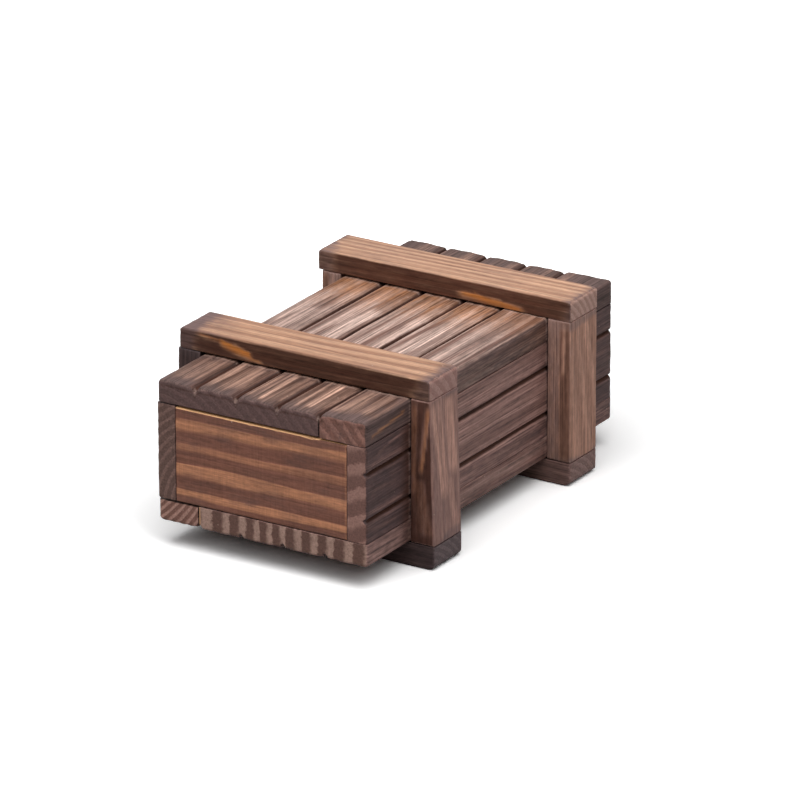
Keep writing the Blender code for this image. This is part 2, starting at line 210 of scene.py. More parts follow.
# %% Lamps
SOFTBOXES = {
    "overhead_softbox": dict(place=(0.06, -0.14, 0.60), size=0.60, watts=3.9),
    "front_left_fill": dict(place=(-0.32, -0.72, 0.60), size=0.50, watts=2.0),
    "right_fill": dict(place=(0.60, -0.22, 0.72), size=0.50, watts=2.1),
}
LAMP_AIM = Vector((0.0, 0.0, 0.02))
for name, lamp in SOFTBOXES.items():
    data = bpy.data.lights.new(name, "AREA")
    data.shape = "SQUARE"
    data.size = lamp["size"]
    data.energy = lamp["watts"]
    box = bpy.data.objects.new(name, data)
    box.location = lamp["place"]
    box.rotation_mode = "QUATERNION"
    box.rotation_quaternion = (LAMP_AIM - box.location).to_track_quat("-Z", "Y")
    bpy.context.scene.collection.objects.link(box)
    print(name, lamp["watts"], "W")

# %% [markdown]
# ## Smooth noise
#
# Wood is never quite even, so positions, depths and stains all waver. One table of random
# numbers, drawn once from a fixed seed, serves every board. Between the table's points the
# value is blended smoothly, and the size of a cell may differ in each direction: long along
# the grain and short across it.

# %% Noise from a table
TABLE_SEED = 95
TABLE_SIDE = 32
SEED_SHIFT = 7.31
random_numbers = np.random.default_rng(TABLE_SEED)
noise_table = random_numbers.random((TABLE_SIDE,) * 3) * 2.0 - 1.0


def smooth(low, high, value):
    """0 up to low, 1 from high on, and a cubic S curve between; low may be the larger."""
    share = np.clip((value - low) / (high - low), 0.0, 1.0)
    return share * share * (3.0 - 2.0 * share)


def noise(places, cell, seed=0.0):
    """Value noise from -1 to 1: each corner of a cell has a table number, weighted by a cubic."""
    scaled = places / np.asarray(cell, float) + seed * SEED_SHIFT
    corner = np.floor(scaled).astype(int)
    share = smooth(0.0, 1.0, scaled - corner)
    total = np.zeros(len(places))
    for step in itertools.product((0, 1), repeat=3):
        weight = np.where(step, share, 1.0 - share).prod(axis=1)
        index = (corner + step) % TABLE_SIDE
        total += weight * noise_table[index[:, 0], index[:, 1], index[:, 2]]
    return total


sample = noise(random_numbers.random((4000, 3)) * 90.0, (3.0, 3.0, 20.0))
print("noise runs from", sample.min().round(2), "to", sample.max().round(2))

# %% [markdown]
# ## A board as a closed lattice
#
# Every board starts as a box whose six sides are grids of two parameters. The grid lines sit
# closer together where the shape changes: at rounded edges, milled lines and pockets. Then
# the points move: edges are rounded, and the thickness is pressed between two height fields,
# one for the hidden inner face with its pockets and one for the outer face with its grooves.
# Sharing the points along the box's edges keeps the surface closed.

# %% Grid lines and box sides
def grid_lines(low, high, step, marks):
    """Places from low to high: every mark, and between marks equal steps no longer than step."""
    marks = np.unique(np.round(np.clip(np.append(marks, (low, high)), low, high), 3))
    counts = np.ceil(np.diff(marks) / step - 1e-6).astype(int)
    runs = [np.linspace(a, b, n, endpoint=False) for a, b, n in zip(marks[:-1], marks[1:], counts)]
    return np.append(np.concatenate(runs), marks[-1])


def box_sides(counts):
    """The lattice points on a box's sides, and the four-cornered faces between them.

    Each side is the lattice with one index held at its first or last value. Its faces are
    wound so that first direction x second direction points out of the box.
    """
    index = np.arange(np.prod(counts)).reshape(counts)
    sides = []
    for axis in range(3):
        for end in (0, -1):
            sheet = np.take(index, end, axis=axis)
            sheet = sheet.T if axis == 1 else sheet
            quads = np.stack([sheet[:-1, :-1], sheet[1:, :-1], sheet[1:, 1:], sheet[:-1, 1:]], -1)
            quads = quads.reshape(-1, 4)
            sides.append(quads if end else quads[:, ::-1])
    used, faces = np.unique(np.concatenate(sides), return_inverse=True)
    return used, faces.reshape(-1, 4)


used, faces = box_sides((3, 4, 5))
print("a 3 x 4 x 5 lattice has", len(used), "points and", len(faces), "faces on its sides")

# %% [markdown]
# ## Rounded edges
#
# Sandpaper rounds an arris to a quarter circle. Near an edge, the distances from its two
# sides, counted in radii, are the coordinates of a square. Scaling a point of that square by
# its larger coordinate over its length bends the square's rim into the quarter circle and
# leaves the rest smooth, so no new faces are needed.

# %% Round the edges of a lattice
TOUCHED = 0.12
TURN_TANGENTS = np.tan(np.radians((0.0, 11.25, 22.5, 33.75, 45.0)))


def edge_marks(place, inward, radius):
    """Grid lines that meet a quarter circle of this radius at equal turns."""
    return place + inward * radius * (1.0 - TURN_TANGENTS)


def round_edges(p, q, spans, radii):
    """Bend points near the edges where p and q both end; return them and how near they are.

    radii maps (end of p, end of q), each 0 or 1, to a radius.
    """
    nearness = np.zeros(len(p))
    for (end_p, end_q), radius in radii.items():
        inward_p, inward_q = 1 - 2 * end_p, 1 - 2 * end_q
        a = np.clip(1.0 - (p - spans[0][end_p]) * inward_p / radius, 0.0, 1.0)
        b = np.clip(1.0 - (q - spans[1][end_q]) * inward_q / radius, 0.0, 1.0)
        pull = 1.0 - np.maximum(a, b) / np.maximum(np.hypot(a, b), 1e-9)
        pull = np.where((a > 0.0) & (b > 0.0), pull, 0.0)
        p = p + inward_p * radius * a * pull
        q = q + inward_q * radius * b * pull
        if radius > TOUCHED * 2.0:
            nearness = np.maximum(nearness, np.minimum(a, b))
    return p, q, nearness


square = np.array([1.0, 1.0])
print("the corner of the square moves to", (square * square.max() / np.hypot(*square)).round(3))

# %% [markdown]
# ## Milled lines, planks and pockets
#
# A V-shaped cutter makes one board look like several planks. The line's depth falls straight
# from the middle to both shoulders; a smooth maximum rounds the shoulders, and the middle
# wanders a little. At the board's ends the line opens out, and the corners of the planks
# beside it are worn down. Between lines each plank is crowned, because brushing takes more
# from its edges. Growth rings stand out too: the soft wood between them is brushed away.

# %% Height fields of a board
GROOVE_HALF = 0.72
GROOVE_DEPTH = 0.95
NARROW_HALF = 0.66
NARROW_DEPTH = 0.85
LINE_DRIFT = 0.6
DRIFT_RUN = (-45.0, 5.0)
MOUTH = 2.0
LINE_WANDER = 0.10
WANDER_CELL = (9.0, 1.0, 1.0)
LINE_REACH = 2.2
CORNER_WEAR = 0.14
SHOULDER = 0.10
BOTTOM = 0.06
CROWN = 0.05
WALL_LEAN = 0.01
NO_LINE = 99.0


def line_offset(u, w, lines, seams, drift):
    """Signed distance across from the nearest milled line or seam.

    Slow noise moves a line's middle. Drift is how far the milled lines, cut by hand, run off
    across by the middle of the board.
    """
    offset = np.full(len(u), NO_LINE)
    for place in (*lines, *seams):
        spots = np.stack([w, np.full(len(w), place * 3.0), np.zeros(len(w))], axis=1)
        run = drift * smooth(*DRIFT_RUN, w) * (place in lines)
        from_line = u - place - run - LINE_WANDER * noise(spots, WANDER_CELL)
        offset = np.where(np.abs(from_line) < np.abs(offset), from_line, offset)
    return offset


def line_depth(offset, to_end, mouth):
    """Depth of a V-shaped line: straight flanks, and a smooth maximum with the flat face.

    Along the last MOUTH millimetres it grows from its narrow size towards the size of the
    cutter; mouth, up to 1, says how far. Below 0 the line shrinks towards the end instead.
    """
    opening = mouth * smooth(MOUTH, 0.0, to_end)
    half = NARROW_HALF + (GROOVE_HALF - NARROW_HALF) * opening
    depth = NARROW_DEPTH + (GROOVE_DEPTH - NARROW_DEPTH) * opening
    flank = depth * (1.0 - np.hypot(offset, BOTTOM) / half)
    return 0.5 * (flank + np.hypot(flank, SHOULDER)) * smooth(LINE_REACH, 1.2, np.abs(offset))


def corner_wear(offset, to_end):
    """How far the corners of planks are worn down: most where a line meets the end."""
    return CORNER_WEAR * smooth(LINE_REACH, 0.4, np.abs(offset)) * smooth(1.6, 0.0, to_end)


def plank_crown(u, bounds):
    """How much lower a plank is than its middle: the square of its place across."""
    place = np.interp(u, bounds, np.arange(len(bounds)))
    across = 2.0 * (place - np.minimum(np.floor(place), len(bounds) - 2)) - 1.0
    return CROWN * across ** 2


def pocket_depth(u, w, pockets):
    """Depth of pockets: a share across times a depth along, both straight between marks."""
    depth = np.zeros(len(u))
    for across, along in pockets:
        share = np.interp(u, *zip(*across))
        depth = np.maximum(depth, share * np.interp(w, *zip(*along)))
    return depth


def box_pocket(across, along, depth):
    """A pocket with upright walls, as the marks that pocket_depth reads."""
    walls = []
    for (low, high), level in ((across, 1.0), (along, depth)):
        walls.append([(low - WALL_LEAN, 0.0), (low + WALL_LEAN, level),
                      (high - WALL_LEAN, level), (high + WALL_LEAN, 0.0)])
    return tuple(walls)


print("a line is", 2 * NARROW_HALF, "mm wide, and", 2 * GROOVE_HALF, "mm at its ends")

# %% [markdown]
# ## Growth rings
#
# A tree's rings are cylinders round its pith. If a board remembers where the pith ran, the
# arcs on its end, the streaks on its face and the pointed arches of a slanting cut all agree.
# So each point keeps one number: its distance from the pith in rings, with a slow wobble. The
# shader later turns the fraction of that number into dark and light wood.

# %% Distance from the pith
WOBBLE = 0.22
WOBBLE_CELL = (7.0, 7.0, 38.0)


def ring_number(u, v, w, pith, lean, spacing, seed):
    """Rings passed on the way out from a leaning pith line, plus a slow noise.

    Spacing is the width of every ring, or a list of the distances at which rings end.
    """
    reach = np.hypot(u - pith[0] - lean[0] * w, v - pith[1] - lean[1] * w)
    wobble = WOBBLE * noise(np.stack([u, v, w], axis=1), WOBBLE_CELL, seed)
    if np.ndim(spacing):
        return np.interp(reach, spacing, np.arange(len(spacing))) + wobble
    return reach / spacing + wobble


def ring_relief(ring, height):
    """How far brushing has worn the wood: nothing on a ring and height between rings."""
    return height * (0.5 + 0.5 * np.cos(2.0 * np.pi * ring))


# %% [markdown]
# ## The board maker
#
# A board knows three directions: across it, out of its face, and along its grain. One maker
# serves planks, panels and battens, because they differ only in their sizes, edges, lines and
# pith. It takes the board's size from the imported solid. After the large shape it adds small
# wear along each point's normal, always inwards, so that wear never makes a board larger.

# %% Point normals and the solid's size
AXIS = {"x": 0, "y": 1, "z": 2}


def point_normals(points, faces):
    """Unit normals: at each point, the sum of its faces' crossed diagonals."""
    crossed = np.cross(points[faces[:, 2]] - points[faces[:, 0]],
                       points[faces[:, 3]] - points[faces[:, 1]])
    total = np.stack([np.bincount(faces.ravel(), np.repeat(crossed[:, axis], 4), len(points))
                      for axis in range(3)], axis=1)
    return total / np.maximum(np.linalg.norm(total, axis=1, keepdims=True), 1e-12)


def solid_spans(name, axes):
    """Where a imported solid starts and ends, in mm, along each of the board's directions."""
    low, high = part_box(name)
    return [(low[AXIS[letter]] / MM, high[AXIS[letter]] / MM) for letter in axes]


for letter, span in zip("xzy", solid_spans("sliding_lid", "xzy")):
    print("the lid's solid spans", [round(end, 3) for end in span], "mm along", letter)

# %% A board's lattice
HALF_LINE_MARKS = (0.06, 0.25, 0.45, 0.55, 0.7, 0.9, 1.2)
LINE_MARKS = [side * mark for mark in HALF_LINE_MARKS for side in (-1.0, 1.0)]


def board_marks(spans, crossings, pockets, long_radii, upright_radii, back_radii, end_radius):
    """Grid lines beside a board's milled lines, at its pockets and along its rounded edges."""
    across, (_, thick), along = spans
    u_marks = [place + offset for place in crossings for offset in LINE_MARKS]
    v_marks, w_marks = [], []
    for marks_u, marks_w in pockets:
        u_marks += [place for place, _ in marks_u]
        w_marks += [place for place, _ in marks_w]
    for end, inward in ((0, 1.0), (1, -1.0)):
        for radius in (long_radii[end], upright_radii[end], back_radii[end]):
            u_marks.extend(edge_marks(across[end], inward, radius))
        for radius in (end_radius, *upright_radii, TOUCHED):
            w_marks.extend(edge_marks(along[end], inward, radius))
    for radius in (*back_radii, TOUCHED):
        v_marks.extend(edge_marks(0.0, 1.0, radius))
    for radius in (*long_radii, end_radius):
        v_marks.extend(edge_marks(thick, -1.0, radius))
    return u_marks, v_marks, w_marks


def lattice(spans, steps, marks):
    """Points on a box's sides at the grid lines of each direction, and the faces between them."""
    lines = [grid_lines(*span, step, places) for span, step, places in zip(spans, steps, marks)]
    counts = tuple(len(places) for places in lines)
    used, faces = box_sides(counts)
    index = np.unravel_index(used, counts)
    return *(places[at] for places, at in zip(lines, index)), faces


# %% Wear, and the place in the world
WEAR_CELL = (2.2, 2.2, 6.0)
NICK_CELL = (0.9, 0.9, 1.6)
NICK_SHARE = 2.2
SCRATCH_CELL = (0.5, 0.5, 9.0)
SCRATCH_SHARE = 0.5
SIDE_TURN = (0.55, 0.9)
END_TURN = (0.5, 0.9)


def wear_down(points, faces, edge, worn, seed):
    """Move points inwards: slow wear everywhere, nicks along the edges, and fine scratches."""
    wear = 0.5 + 0.5 * noise(points, WEAR_CELL, seed + 0.3)
    nicks = smooth(0.35, 0.9, noise(points, NICK_CELL, seed + 0.6))
    scratches = 0.5 + 0.5 * noise(points, SCRATCH_CELL, seed + 0.9)
    inwards = worn * (wear + NICK_SHARE * edge * nicks + SCRATCH_SHARE * scratches)
    return points - point_normals(points, faces) * inwards[:, None]


def set_in_world(b, faces, axes, facing, bottom, top):
    """Lay the board's directions along the world's, and keep its faces pointing outwards."""
    order = [AXIS[letter] for letter in axes]
    b.world = np.empty((len(b.u), 3))
    b.world[:, order[0]] = b.u
    b.world[:, order[1]] = bottom + b.v if facing > 0 else top - b.v
    b.world[:, order[2]] = b.w
    b.x, b.y, b.z = b.world.T
    right_handed = (order[1] - order[0]) % 3 == 1
    b.faces = faces if right_handed == (facing > 0) else faces[:, ::-1]


# %% Make a board
THICK_STEP = 0.5
APART = np.array([13.7, 5.3, 41.0])


class Board:
    """A board's points, with its own directions u across, v outwards and w along."""


def shape_board(name, seed, axes, facing, step=0.32, long_step=0.75, long_radii=(0.2, 0.2),
                end_radius=0.3, back_radii=(TOUCHED, TOUCHED), upright_radii=(0.2, 0.2),
                lines=(), seams=(), inner=(), outer=(), pith=(0.0, -30.0), lean=(0.0, 0.0),
                spacing=2.6, relief=0.05, worn=0.05, marks=(), more=((0.0, 0.0), (0.0, 0.0)),
                taper=0.0, mouth=1.0, drift=0.0):
    """Shape the board that stands for a solid. Facing is 1 or -1, where its shown face points.

    Lines are milled lines and seams are joints with a neighbour, as places across the board.
    Inner and outer are pockets in its hidden and its shown face. More says how far its sides
    and its ends stand past the solid's, or short of them where it is negative. Taper is how
    much thinner it is at its last end than at its first.
    """
    across, (bottom, top), along = solid_spans(name, axes)
    across = (across[0] - more[0][0], across[1] + more[0][1])
    along = (along[0] - more[1][0], along[1] + more[1][1])
    thick = top - bottom
    spans = (across, (0.0, thick), along)
    crossings = (*lines, *seams, *(place + drift for place in lines))
    found = board_marks(spans, crossings, (*inner, *outer), long_radii, upright_radii, back_radii,
                        end_radius)
    found[2].extend(marks)
    u, v, w, faces = lattice(spans, (step, THICK_STEP, long_step), found)

    b = Board()
    long_edges = {(end, out): (back_radii, long_radii)[out][end] for out in (0, 1) for end in (0, 1)}
    end_edges = {(end, out): (TOUCHED, end_radius)[out] for out in (0, 1) for end in (0, 1)}
    upright_edges = {(side, end): upright_radii[side] for side in (0, 1) for end in (0, 1)}
    u, v, near_long = round_edges(u, v, spans[:2], long_edges)
    w, v, near_end = round_edges(w, v, spans[:0:-1], end_edges)
    u, w, near_upright = round_edges(u, w, spans[::2], upright_edges)
    b.edge = np.maximum.reduce([near_long, near_end, near_upright])

    b.offset = line_offset(u, w, lines, seams, drift)
    to_end = np.minimum(w - along[0], along[1] - w)
    b.groove = line_depth(b.offset, to_end, mouth) / NARROW_DEPTH
    rings = ring_number(u, np.full(len(u), thick), w, pith, lean, spacing, seed)
    face = thick - b.groove * NARROW_DEPTH - pocket_depth(u, w, outer)
    face -= max(mouth, 0.0) * corner_wear(b.offset, to_end) + ring_relief(rings, relief)
    face -= taper * (w - along[0]) / (along[1] - along[0])
    if lines:
        face -= plank_crown(u, sorted({across[0], *lines, across[1]}))
    back = pocket_depth(u, w, inner)
    b.below = (1.0 - v / thick) * (face - back)
    v = face - b.below

    points = wear_down(np.stack([u, v, w], axis=1), faces, b.edge, worn, seed)
    b.u, b.v, b.w = points.T
    b.ring = ring_number(b.u, b.v, b.w, pith, lean, spacing, seed)
    b.places = points + seed * APART
    set_in_world(b, faces, axes, facing, bottom, top)
    b.nu, _, nw = point_normals(points, faces).T
    b.side = smooth(*SIDE_TURN, np.abs(b.nu))
    b.end = smooth(*END_TURN, np.abs(nw))
    b.on_face = (1.0 - b.side) * (1.0 - b.end)
    return b


trial = shape_board("key_strip", 1.0, "xzy", -1)
print("a plain key strip has", len(trial.faces), "faces")

# %% [markdown]
# ## From points to pieces
#
# A board's points become a mesh in metres. What the shader needs is stored on the points as
# named attributes: the ring number, the place inside the board, and masks from 0 to 1 that
# say where the wood is sooty, charred dark or given painted shade, brushed, streaked pale or
# given a painted highlight, scorched orange, bare or dusty; on the tops the brushed mask also
# lays a painted sheen. They move with the piece when it slides, and they follow its surface
# over every edge.

# %% Mesh and attributes
MASKS = ("soot", "shade", "brushed", "streak", "scorch", "bare", "dust", "end_grain")
SHARP_TURN = math.radians(55.0)
made_faces = {}


def store(mesh, name, values):
    """Keep numbers or vectors on the mesh's points under a name."""
    kind, key = ("FLOAT_VECTOR", "vector") if values.ndim == 2 else ("FLOAT", "value")
    layer = mesh.attributes.new(name, kind, "POINT")
    layer.data.foreach_set(key, values.astype(np.float32).ravel())


def lay_board(name, b, material, body, masks):
    """Turn a shaped board into a piece that replaces its solid and rides on its body."""
    mesh = bpy.data.meshes.new(name + "_wood")
    mesh.vertices.add(len(b.world))
    mesh.vertices.foreach_set("co", (b.world * MM).astype(np.float32).ravel())
    mesh.loops.add(b.faces.size)
    mesh.loops.foreach_set("vertex_index", b.faces.astype(np.int32).ravel())
    mesh.polygons.add(len(b.faces))
    mesh.polygons.foreach_set("loop_start", np.arange(0, b.faces.size, 4, dtype=np.int32))
    mesh.update(calc_edges=True)
    mesh.shade_smooth()
    mesh.set_sharp_from_angle(angle=SHARP_TURN)
    store(mesh, "ring", b.ring)
    store(mesh, "board", b.places)
    store(mesh, "end_grain", b.end)
    for mask in MASKS[:-1]:
        store(mesh, mask, np.clip(masks.get(mask, np.zeros(len(b.u))), 0.0, 1.0))
    mesh.materials.append(material)
    piece = bpy.data.objects.new(name + "_wood", mesh)
    bpy.context.scene.collection.objects.link(piece)
    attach(piece, body)
    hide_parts(name)
    made_faces[name] = len(b.faces)
    print(name, "has", len(b.faces), "faces and rides on", body)
    return piece


print("each board carries a ring number, its places and", len(MASKS), "masks")

# %% [markdown]
# ## Finishes as node groups
#
# The same few effects make every finish here, so each is a node group: growth rings, fibres
# along the grain, a mask with a ragged border, saw marks and specks of dust. All of them
# read the place inside the board in millimetres, where the third direction is the grain.

# %% Group helpers
def new_group(name, inputs, outputs):
    """An empty shader group with named sockets; returns its tree, inputs and output node."""
    tree = bpy.data.node_groups.new(name, "ShaderNodeTree")
    kinds = {float: "NodeSocketFloat", tuple: "NodeSocketColor", str: "NodeSocketVector"}
    for label, value in inputs.items():
        socket = tree.interface.new_socket(name=label, in_out="INPUT", socket_type=kinds[type(value)])
        if not isinstance(value, str):
            socket.default_value = (*value, 1.0) if isinstance(value, tuple) else value
    for label, kind in outputs.items():
        tree.interface.new_socket(name=label, in_out="OUTPUT", socket_type=kinds[kind])
    given = tree.nodes.new("NodeGroupInput")
    result = tree.nodes.new("NodeGroupOutput")
    return tree, given.outputs, result


def give(tree, result, **values):
    """Link values to a group's outputs; an underscore stands for a space."""
    for label, value in values.items():
        tree.links.new(value, result.inputs[label.replace("_", " ")])
    print(tree.name, "gives", ", ".join(values))


def use(tree, group, **values):
    """Place a group with its own values; returns its outputs."""
    made = put(tree, "Group", node_tree=bpy.data.node_groups[group])
    for label, value in values.items():
        socket = made.inputs[label.replace("_", " ")]
        if isinstance(value, bpy.types.NodeSocket):
            tree.links.new(value, socket)
        else:
            socket.default_value = (*value, 1.0) if isinstance(value, tuple) else value
    return made.outputs


def grain_noise(tree, board, per_mm, detail=2.0, roughness=0.55):
    """Noise with its own number of features per millimetre in each of the board's directions."""
    scaled = put(tree, "VectorMath", {0: board, 1: per_mm}, operation="MULTIPLY").outputs[0]
    settings = {"Vector": scaled, "Scale": 1.0, "Detail": detail, "Roughness": roughness}
    return put(tree, "TexNoise", settings).outputs[0]


def s_curve(tree, value, low, high):
    """0 up to low, 1 from high on, and an S curve between."""
    settings = {"Value": value, "From Min": low, "From Max": high}
    return put(tree, "MapRange", settings, interpolation_type="SMOOTHSTEP").outputs[0]


# %% Growth rings group
tree, given, result = new_group("growth_rings", {"Ring": 0.0, "Board": "", "Late Share": 0.4},
                                {"Latewood": float, "Tone": float})
waver = less(tree, grain_noise(tree, given["Board"], (0.8, 0.8, 0.05)), 0.5)
ring = line(tree, waver, 0.32, given["Ring"])
phase = maths(tree, "FRACT", ring)
start = less(tree, 0.88, given["Late Share"])
full = line(tree, given["Late Share"], 0.55, start)
rise = s_curve(tree, phase, start, full)
fall = less(tree, 1.0, s_curve(tree, phase, 0.90, 1.0))
tone = put(tree, "TexWhiteNoise", {"W": maths(tree, "FLOOR", ring)}, noise_dimensions="1D")
give(tree, result, Latewood=times(tree, rise, fall), Tone=tone.outputs["Value"])

# %% Fibres group
tree, given, result = new_group("wood_fibres", {"Board": ""},
                                {"Fine": float, "Streak": float, "Fuzz": float})
give(tree, result,
     Fine=grain_noise(tree, given["Board"], (2.6, 2.6, 0.045), 3.0, 0.6),
     Streak=grain_noise(tree, given["Board"], (0.8, 0.8, 0.022), 2.0),
     Fuzz=grain_noise(tree, given["Board"], (1.5, 1.5, 0.45), 3.0, 0.65))

# %% Ragged mask group
tree, given, result = new_group("ragged_mask", {"Board": "", "Mask": 0.0, "Raggedness": 0.5},
                                {"Mask": float})
patches = grain_noise(tree, given["Board"], (0.9, 0.9, 0.22), 4.0, 0.6)
shift = times(tree, less(tree, patches, 0.5), given["Raggedness"])
zone = times(tree, given["Mask"], less(tree, 1.0, given["Mask"]))
room = times(tree, zone, 8.0)
give(tree, result, Mask=maths(tree, "MULTIPLY_ADD", shift, room, given["Mask"], clamp=True))

# %% Saw marks and dust groups
tree, given, result = new_group("saw_marks", {"Board": "", "Strength": 0.3}, {"Shade": float})
marks = grain_noise(tree, given["Board"], (0.16, 0.16, 2.6), 3.0, 0.7)
sway = times(tree, less(tree, marks, 0.5), given["Strength"])
give(tree, result, Shade=maths(tree, "ADD", 1.0, times(tree, sway, 2.4)))

tree, given, result = new_group("dust_specks", {"Board": "", "Share": 0.12}, {"Mask": float})
cells = put(tree, "TexVoronoi", {"Vector": given["Board"], "Scale": 0.55}).outputs
picked = maths(tree, "LESS_THAN", put(tree, "SeparateColor", {0: cells["Color"]}).outputs[0],
               given["Share"])
dot = less(tree, 1.0, s_curve(tree, cells["Distance"], 0.05, 0.11))
give(tree, result, Mask=times(tree, dot, picked))
print("groups:", ", ".join(group.name for group in bpy.data.node_groups))

# %% [markdown]
# ## Flamed wood
#
# Flaming darkens pine unevenly, and brushing opens it again. The colour is built in the order
# in which the real surface got it: bare rings, the flame's brown, pale brushed streaks, soot,
# then the char that stays in the milled lines. Over these come painted shade in corners and
# lines, and on the brushed tops a painted sheen in the pale colours. End grain soaks up more
# of the flame, so it has its own two colours. One group holds this order, and each board gives
# its colours.

# %% Flamed wood group
# Pale and Brushed Ground colour brushed wood; on the tops between the bands they also paint the sheen of
# light on it.
PALETTE = {
    "Ground": (0.072, 0.034, 0.024), "Latewood": (0.570, 0.340, 0.255),
    "Brushed Ground": (0.150, 0.074, 0.055), "Pale": (0.700, 0.500, 0.425),
    "Soot Colour": (0.105, 0.066, 0.060), "Shade Colour": (0.055, 0.023, 0.016),
    "Scorch Colour": (0.460, 0.200, 0.085), "Bare Colour": (0.960, 0.540, 0.270),
    "End Ground": (0.118, 0.068, 0.063), "End Latewood": (0.145, 0.084, 0.077),
    "Dust Colour": (0.430, 0.290, 0.240),
}
AMOUNTS = {"Late Share": 0.5, "Late Strength": 0.5, "Streak Strength": 0.5, "Fibre Strength": 0.7,
           "Fuzz Strength": 0.3, "Saw Strength": 0.05, "Speck Share": 0.08}
COVERS = ("Soot", "Shade", "Brushed", "Streak", "Scorch", "Bare", "Dust", "End Grain")
inputs = {"Board": "", "Ring": 0.0, **dict.fromkeys(COVERS, 0.0), **AMOUNTS, **PALETTE}
tree, given, result = new_group("flamed_wood", inputs,
                                {"Colour": tuple, "Roughness": float, "Height": float})
board = given["Board"]


def ragged(label, raggedness):
    """One of the board's masks, with a ragged border."""
    return use(tree, "ragged_mask", Board=board, Mask=given[label], Raggedness=raggedness)["Mask"]


rings = use(tree, "growth_rings", Ring=given["Ring"], Board=board, Late_Share=given["Late Share"])
fibres = use(tree, "wood_fibres", Board=board)
fine = less(tree, fibres["Fine"], 0.5)
fuzz = less(tree, fibres["Fuzz"], 0.5)
late = times(tree, rings["Latewood"], line(tree, rings["Tone"], 0.6, 0.4))
late = times(tree, late, given["Late Strength"])
streak = times(tree, s_curve(tree, fibres["Streak"], 0.44, 0.62), given["Streak Strength"])
share = line(tree, streak, 0.5, late)
# Laid streaks: pale streaks in the wood, with painted highlights and painted sheen among them.
laid = times(tree, given["Streak"], line(tree, fine, 1.6, 1.0))
share = maths(tree, "MAXIMUM", share, laid, clamp=True)
# Where the brushed mask is, ground and bright turn to brushed colours, which on the tops also carry painted
# sheen.
ground = mix_colours(tree, given["Brushed"], given["Ground"], given["Brushed Ground"])
bright = mix_colours(tree, given["Brushed"], given["Latewood"], given["Pale"])
colour = mix_colours(tree, share, ground, bright)
colour = mix_colours(tree, ragged("Scorch", 0.8), colour, given["Scorch Colour"])
end_colour = mix_colours(tree, rings["Latewood"], given["End Ground"], given["End Latewood"])
colour = mix_colours(tree, given["End Grain"], colour, end_colour)
lines = line(tree, fine, times(tree, given["Fibre Strength"], 4.0), 1.0)
lines = line(tree, fuzz, times(tree, given["Fuzz Strength"], 3.0), lines)
lines = maths(tree, "MAXIMUM", lines, 0.15)
calm = line(tree, given["End Grain"], -0.55, 1.0)
lines = line(tree, less(tree, lines, 1.0), calm, 1.0)
saw = use(tree, "saw_marks", Board=board, Strength=given["Saw Strength"])
toned = times(tree, lines, saw["Shade"])
colour = tint(tree, colour, toned)
soot = ragged("Soot", 1.0)
colour = mix_colours(tree, soot, colour, tint(tree, given["Soot Colour"], lines))
# The shade mask darkens char and painted shade alike: milled lines, plank edges and corners.
shade = ragged("Shade", 0.6)
colour = mix_colours(tree, shade, colour, tint(tree, given["Shade Colour"], lines))
dust = times(tree, given["Dust"], s_curve(tree, fibres["Fuzz"], 0.35, 0.60))
specks = use(tree, "dust_specks", Board=board, Share=given["Speck Share"])["Mask"]
colour = mix_colours(tree, maths(tree, "MAXIMUM", dust, specks), colour, given["Dust Colour"])
colour = mix_colours(tree, ragged("Bare", 0.5), colour, given["Bare Colour"])
matt = line(tree, soot, 0.14, 0.50)
matt = line(tree, shade, 0.20, matt)
height = line(tree, fibres["Fine"], 0.45, times(tree, rings["Latewood"], 0.4))
height = line(tree, saw["Shade"], 0.15, height)
give(tree, result, Colour=colour, Roughness=matt, Height=height)
print("flamed_wood takes", len(inputs), "values")

# %% Flamed wood material
BUMP_DEPTH = 0.10 * MM
CHARRED_SHINE = 0.15


def attribute(tree, name, output="Fac"):
    """A number or vector that is stored on the piece's points."""
    return put(tree, "Attribute", attribute_name=name).outputs[output]


def flamed_wood(name, **values):
    """A material of flamed wood; values name the group's own sockets."""
    material = bpy.data.materials.new(name)
    material.use_nodes = True
    tree = material.node_tree
    tree.nodes.clear()
    masks = {label.title(): attribute(tree, label) for label in MASKS}
    wood = use(tree, "flamed_wood", Board=attribute(tree, "board", "Vector"),
               Ring=attribute(tree, "ring"), **masks, **values)
    bump = put(tree, "Bump", {"Height": wood["Height"], "Distance": BUMP_DEPTH, "Strength": 1.0})
    shader = put(tree, "BsdfPrincipled",
                 {"Base Color": wood["Colour"], "Roughness": wood["Roughness"],
                  "Normal": bump.outputs[0], "Specular IOR Level": CHARRED_SHINE})
    put(tree, "OutputMaterial", {"Surface": shader.outputs[0]})
    return material


print("the fibres stand out by up to", BUMP_DEPTH / MM, "mm")

# %% [markdown]
# ## The top
#
# The lid is the wide part of the top, milled into four planks, and a narrow strip is fixed
# beside it. Both keep dark char in their V lines, deepened with painted shade, a painted
# highlight on one side of each line and a pale chip where a line breaks out at the end. They
# were brushed palest between the bands, where a painted sheen lightens them further, and stay
# grey with soot at the ends; before the near band painted shade deepens the soot. The lid's
# underside has the slot for the stop dowel and the mortise for the lock peg.

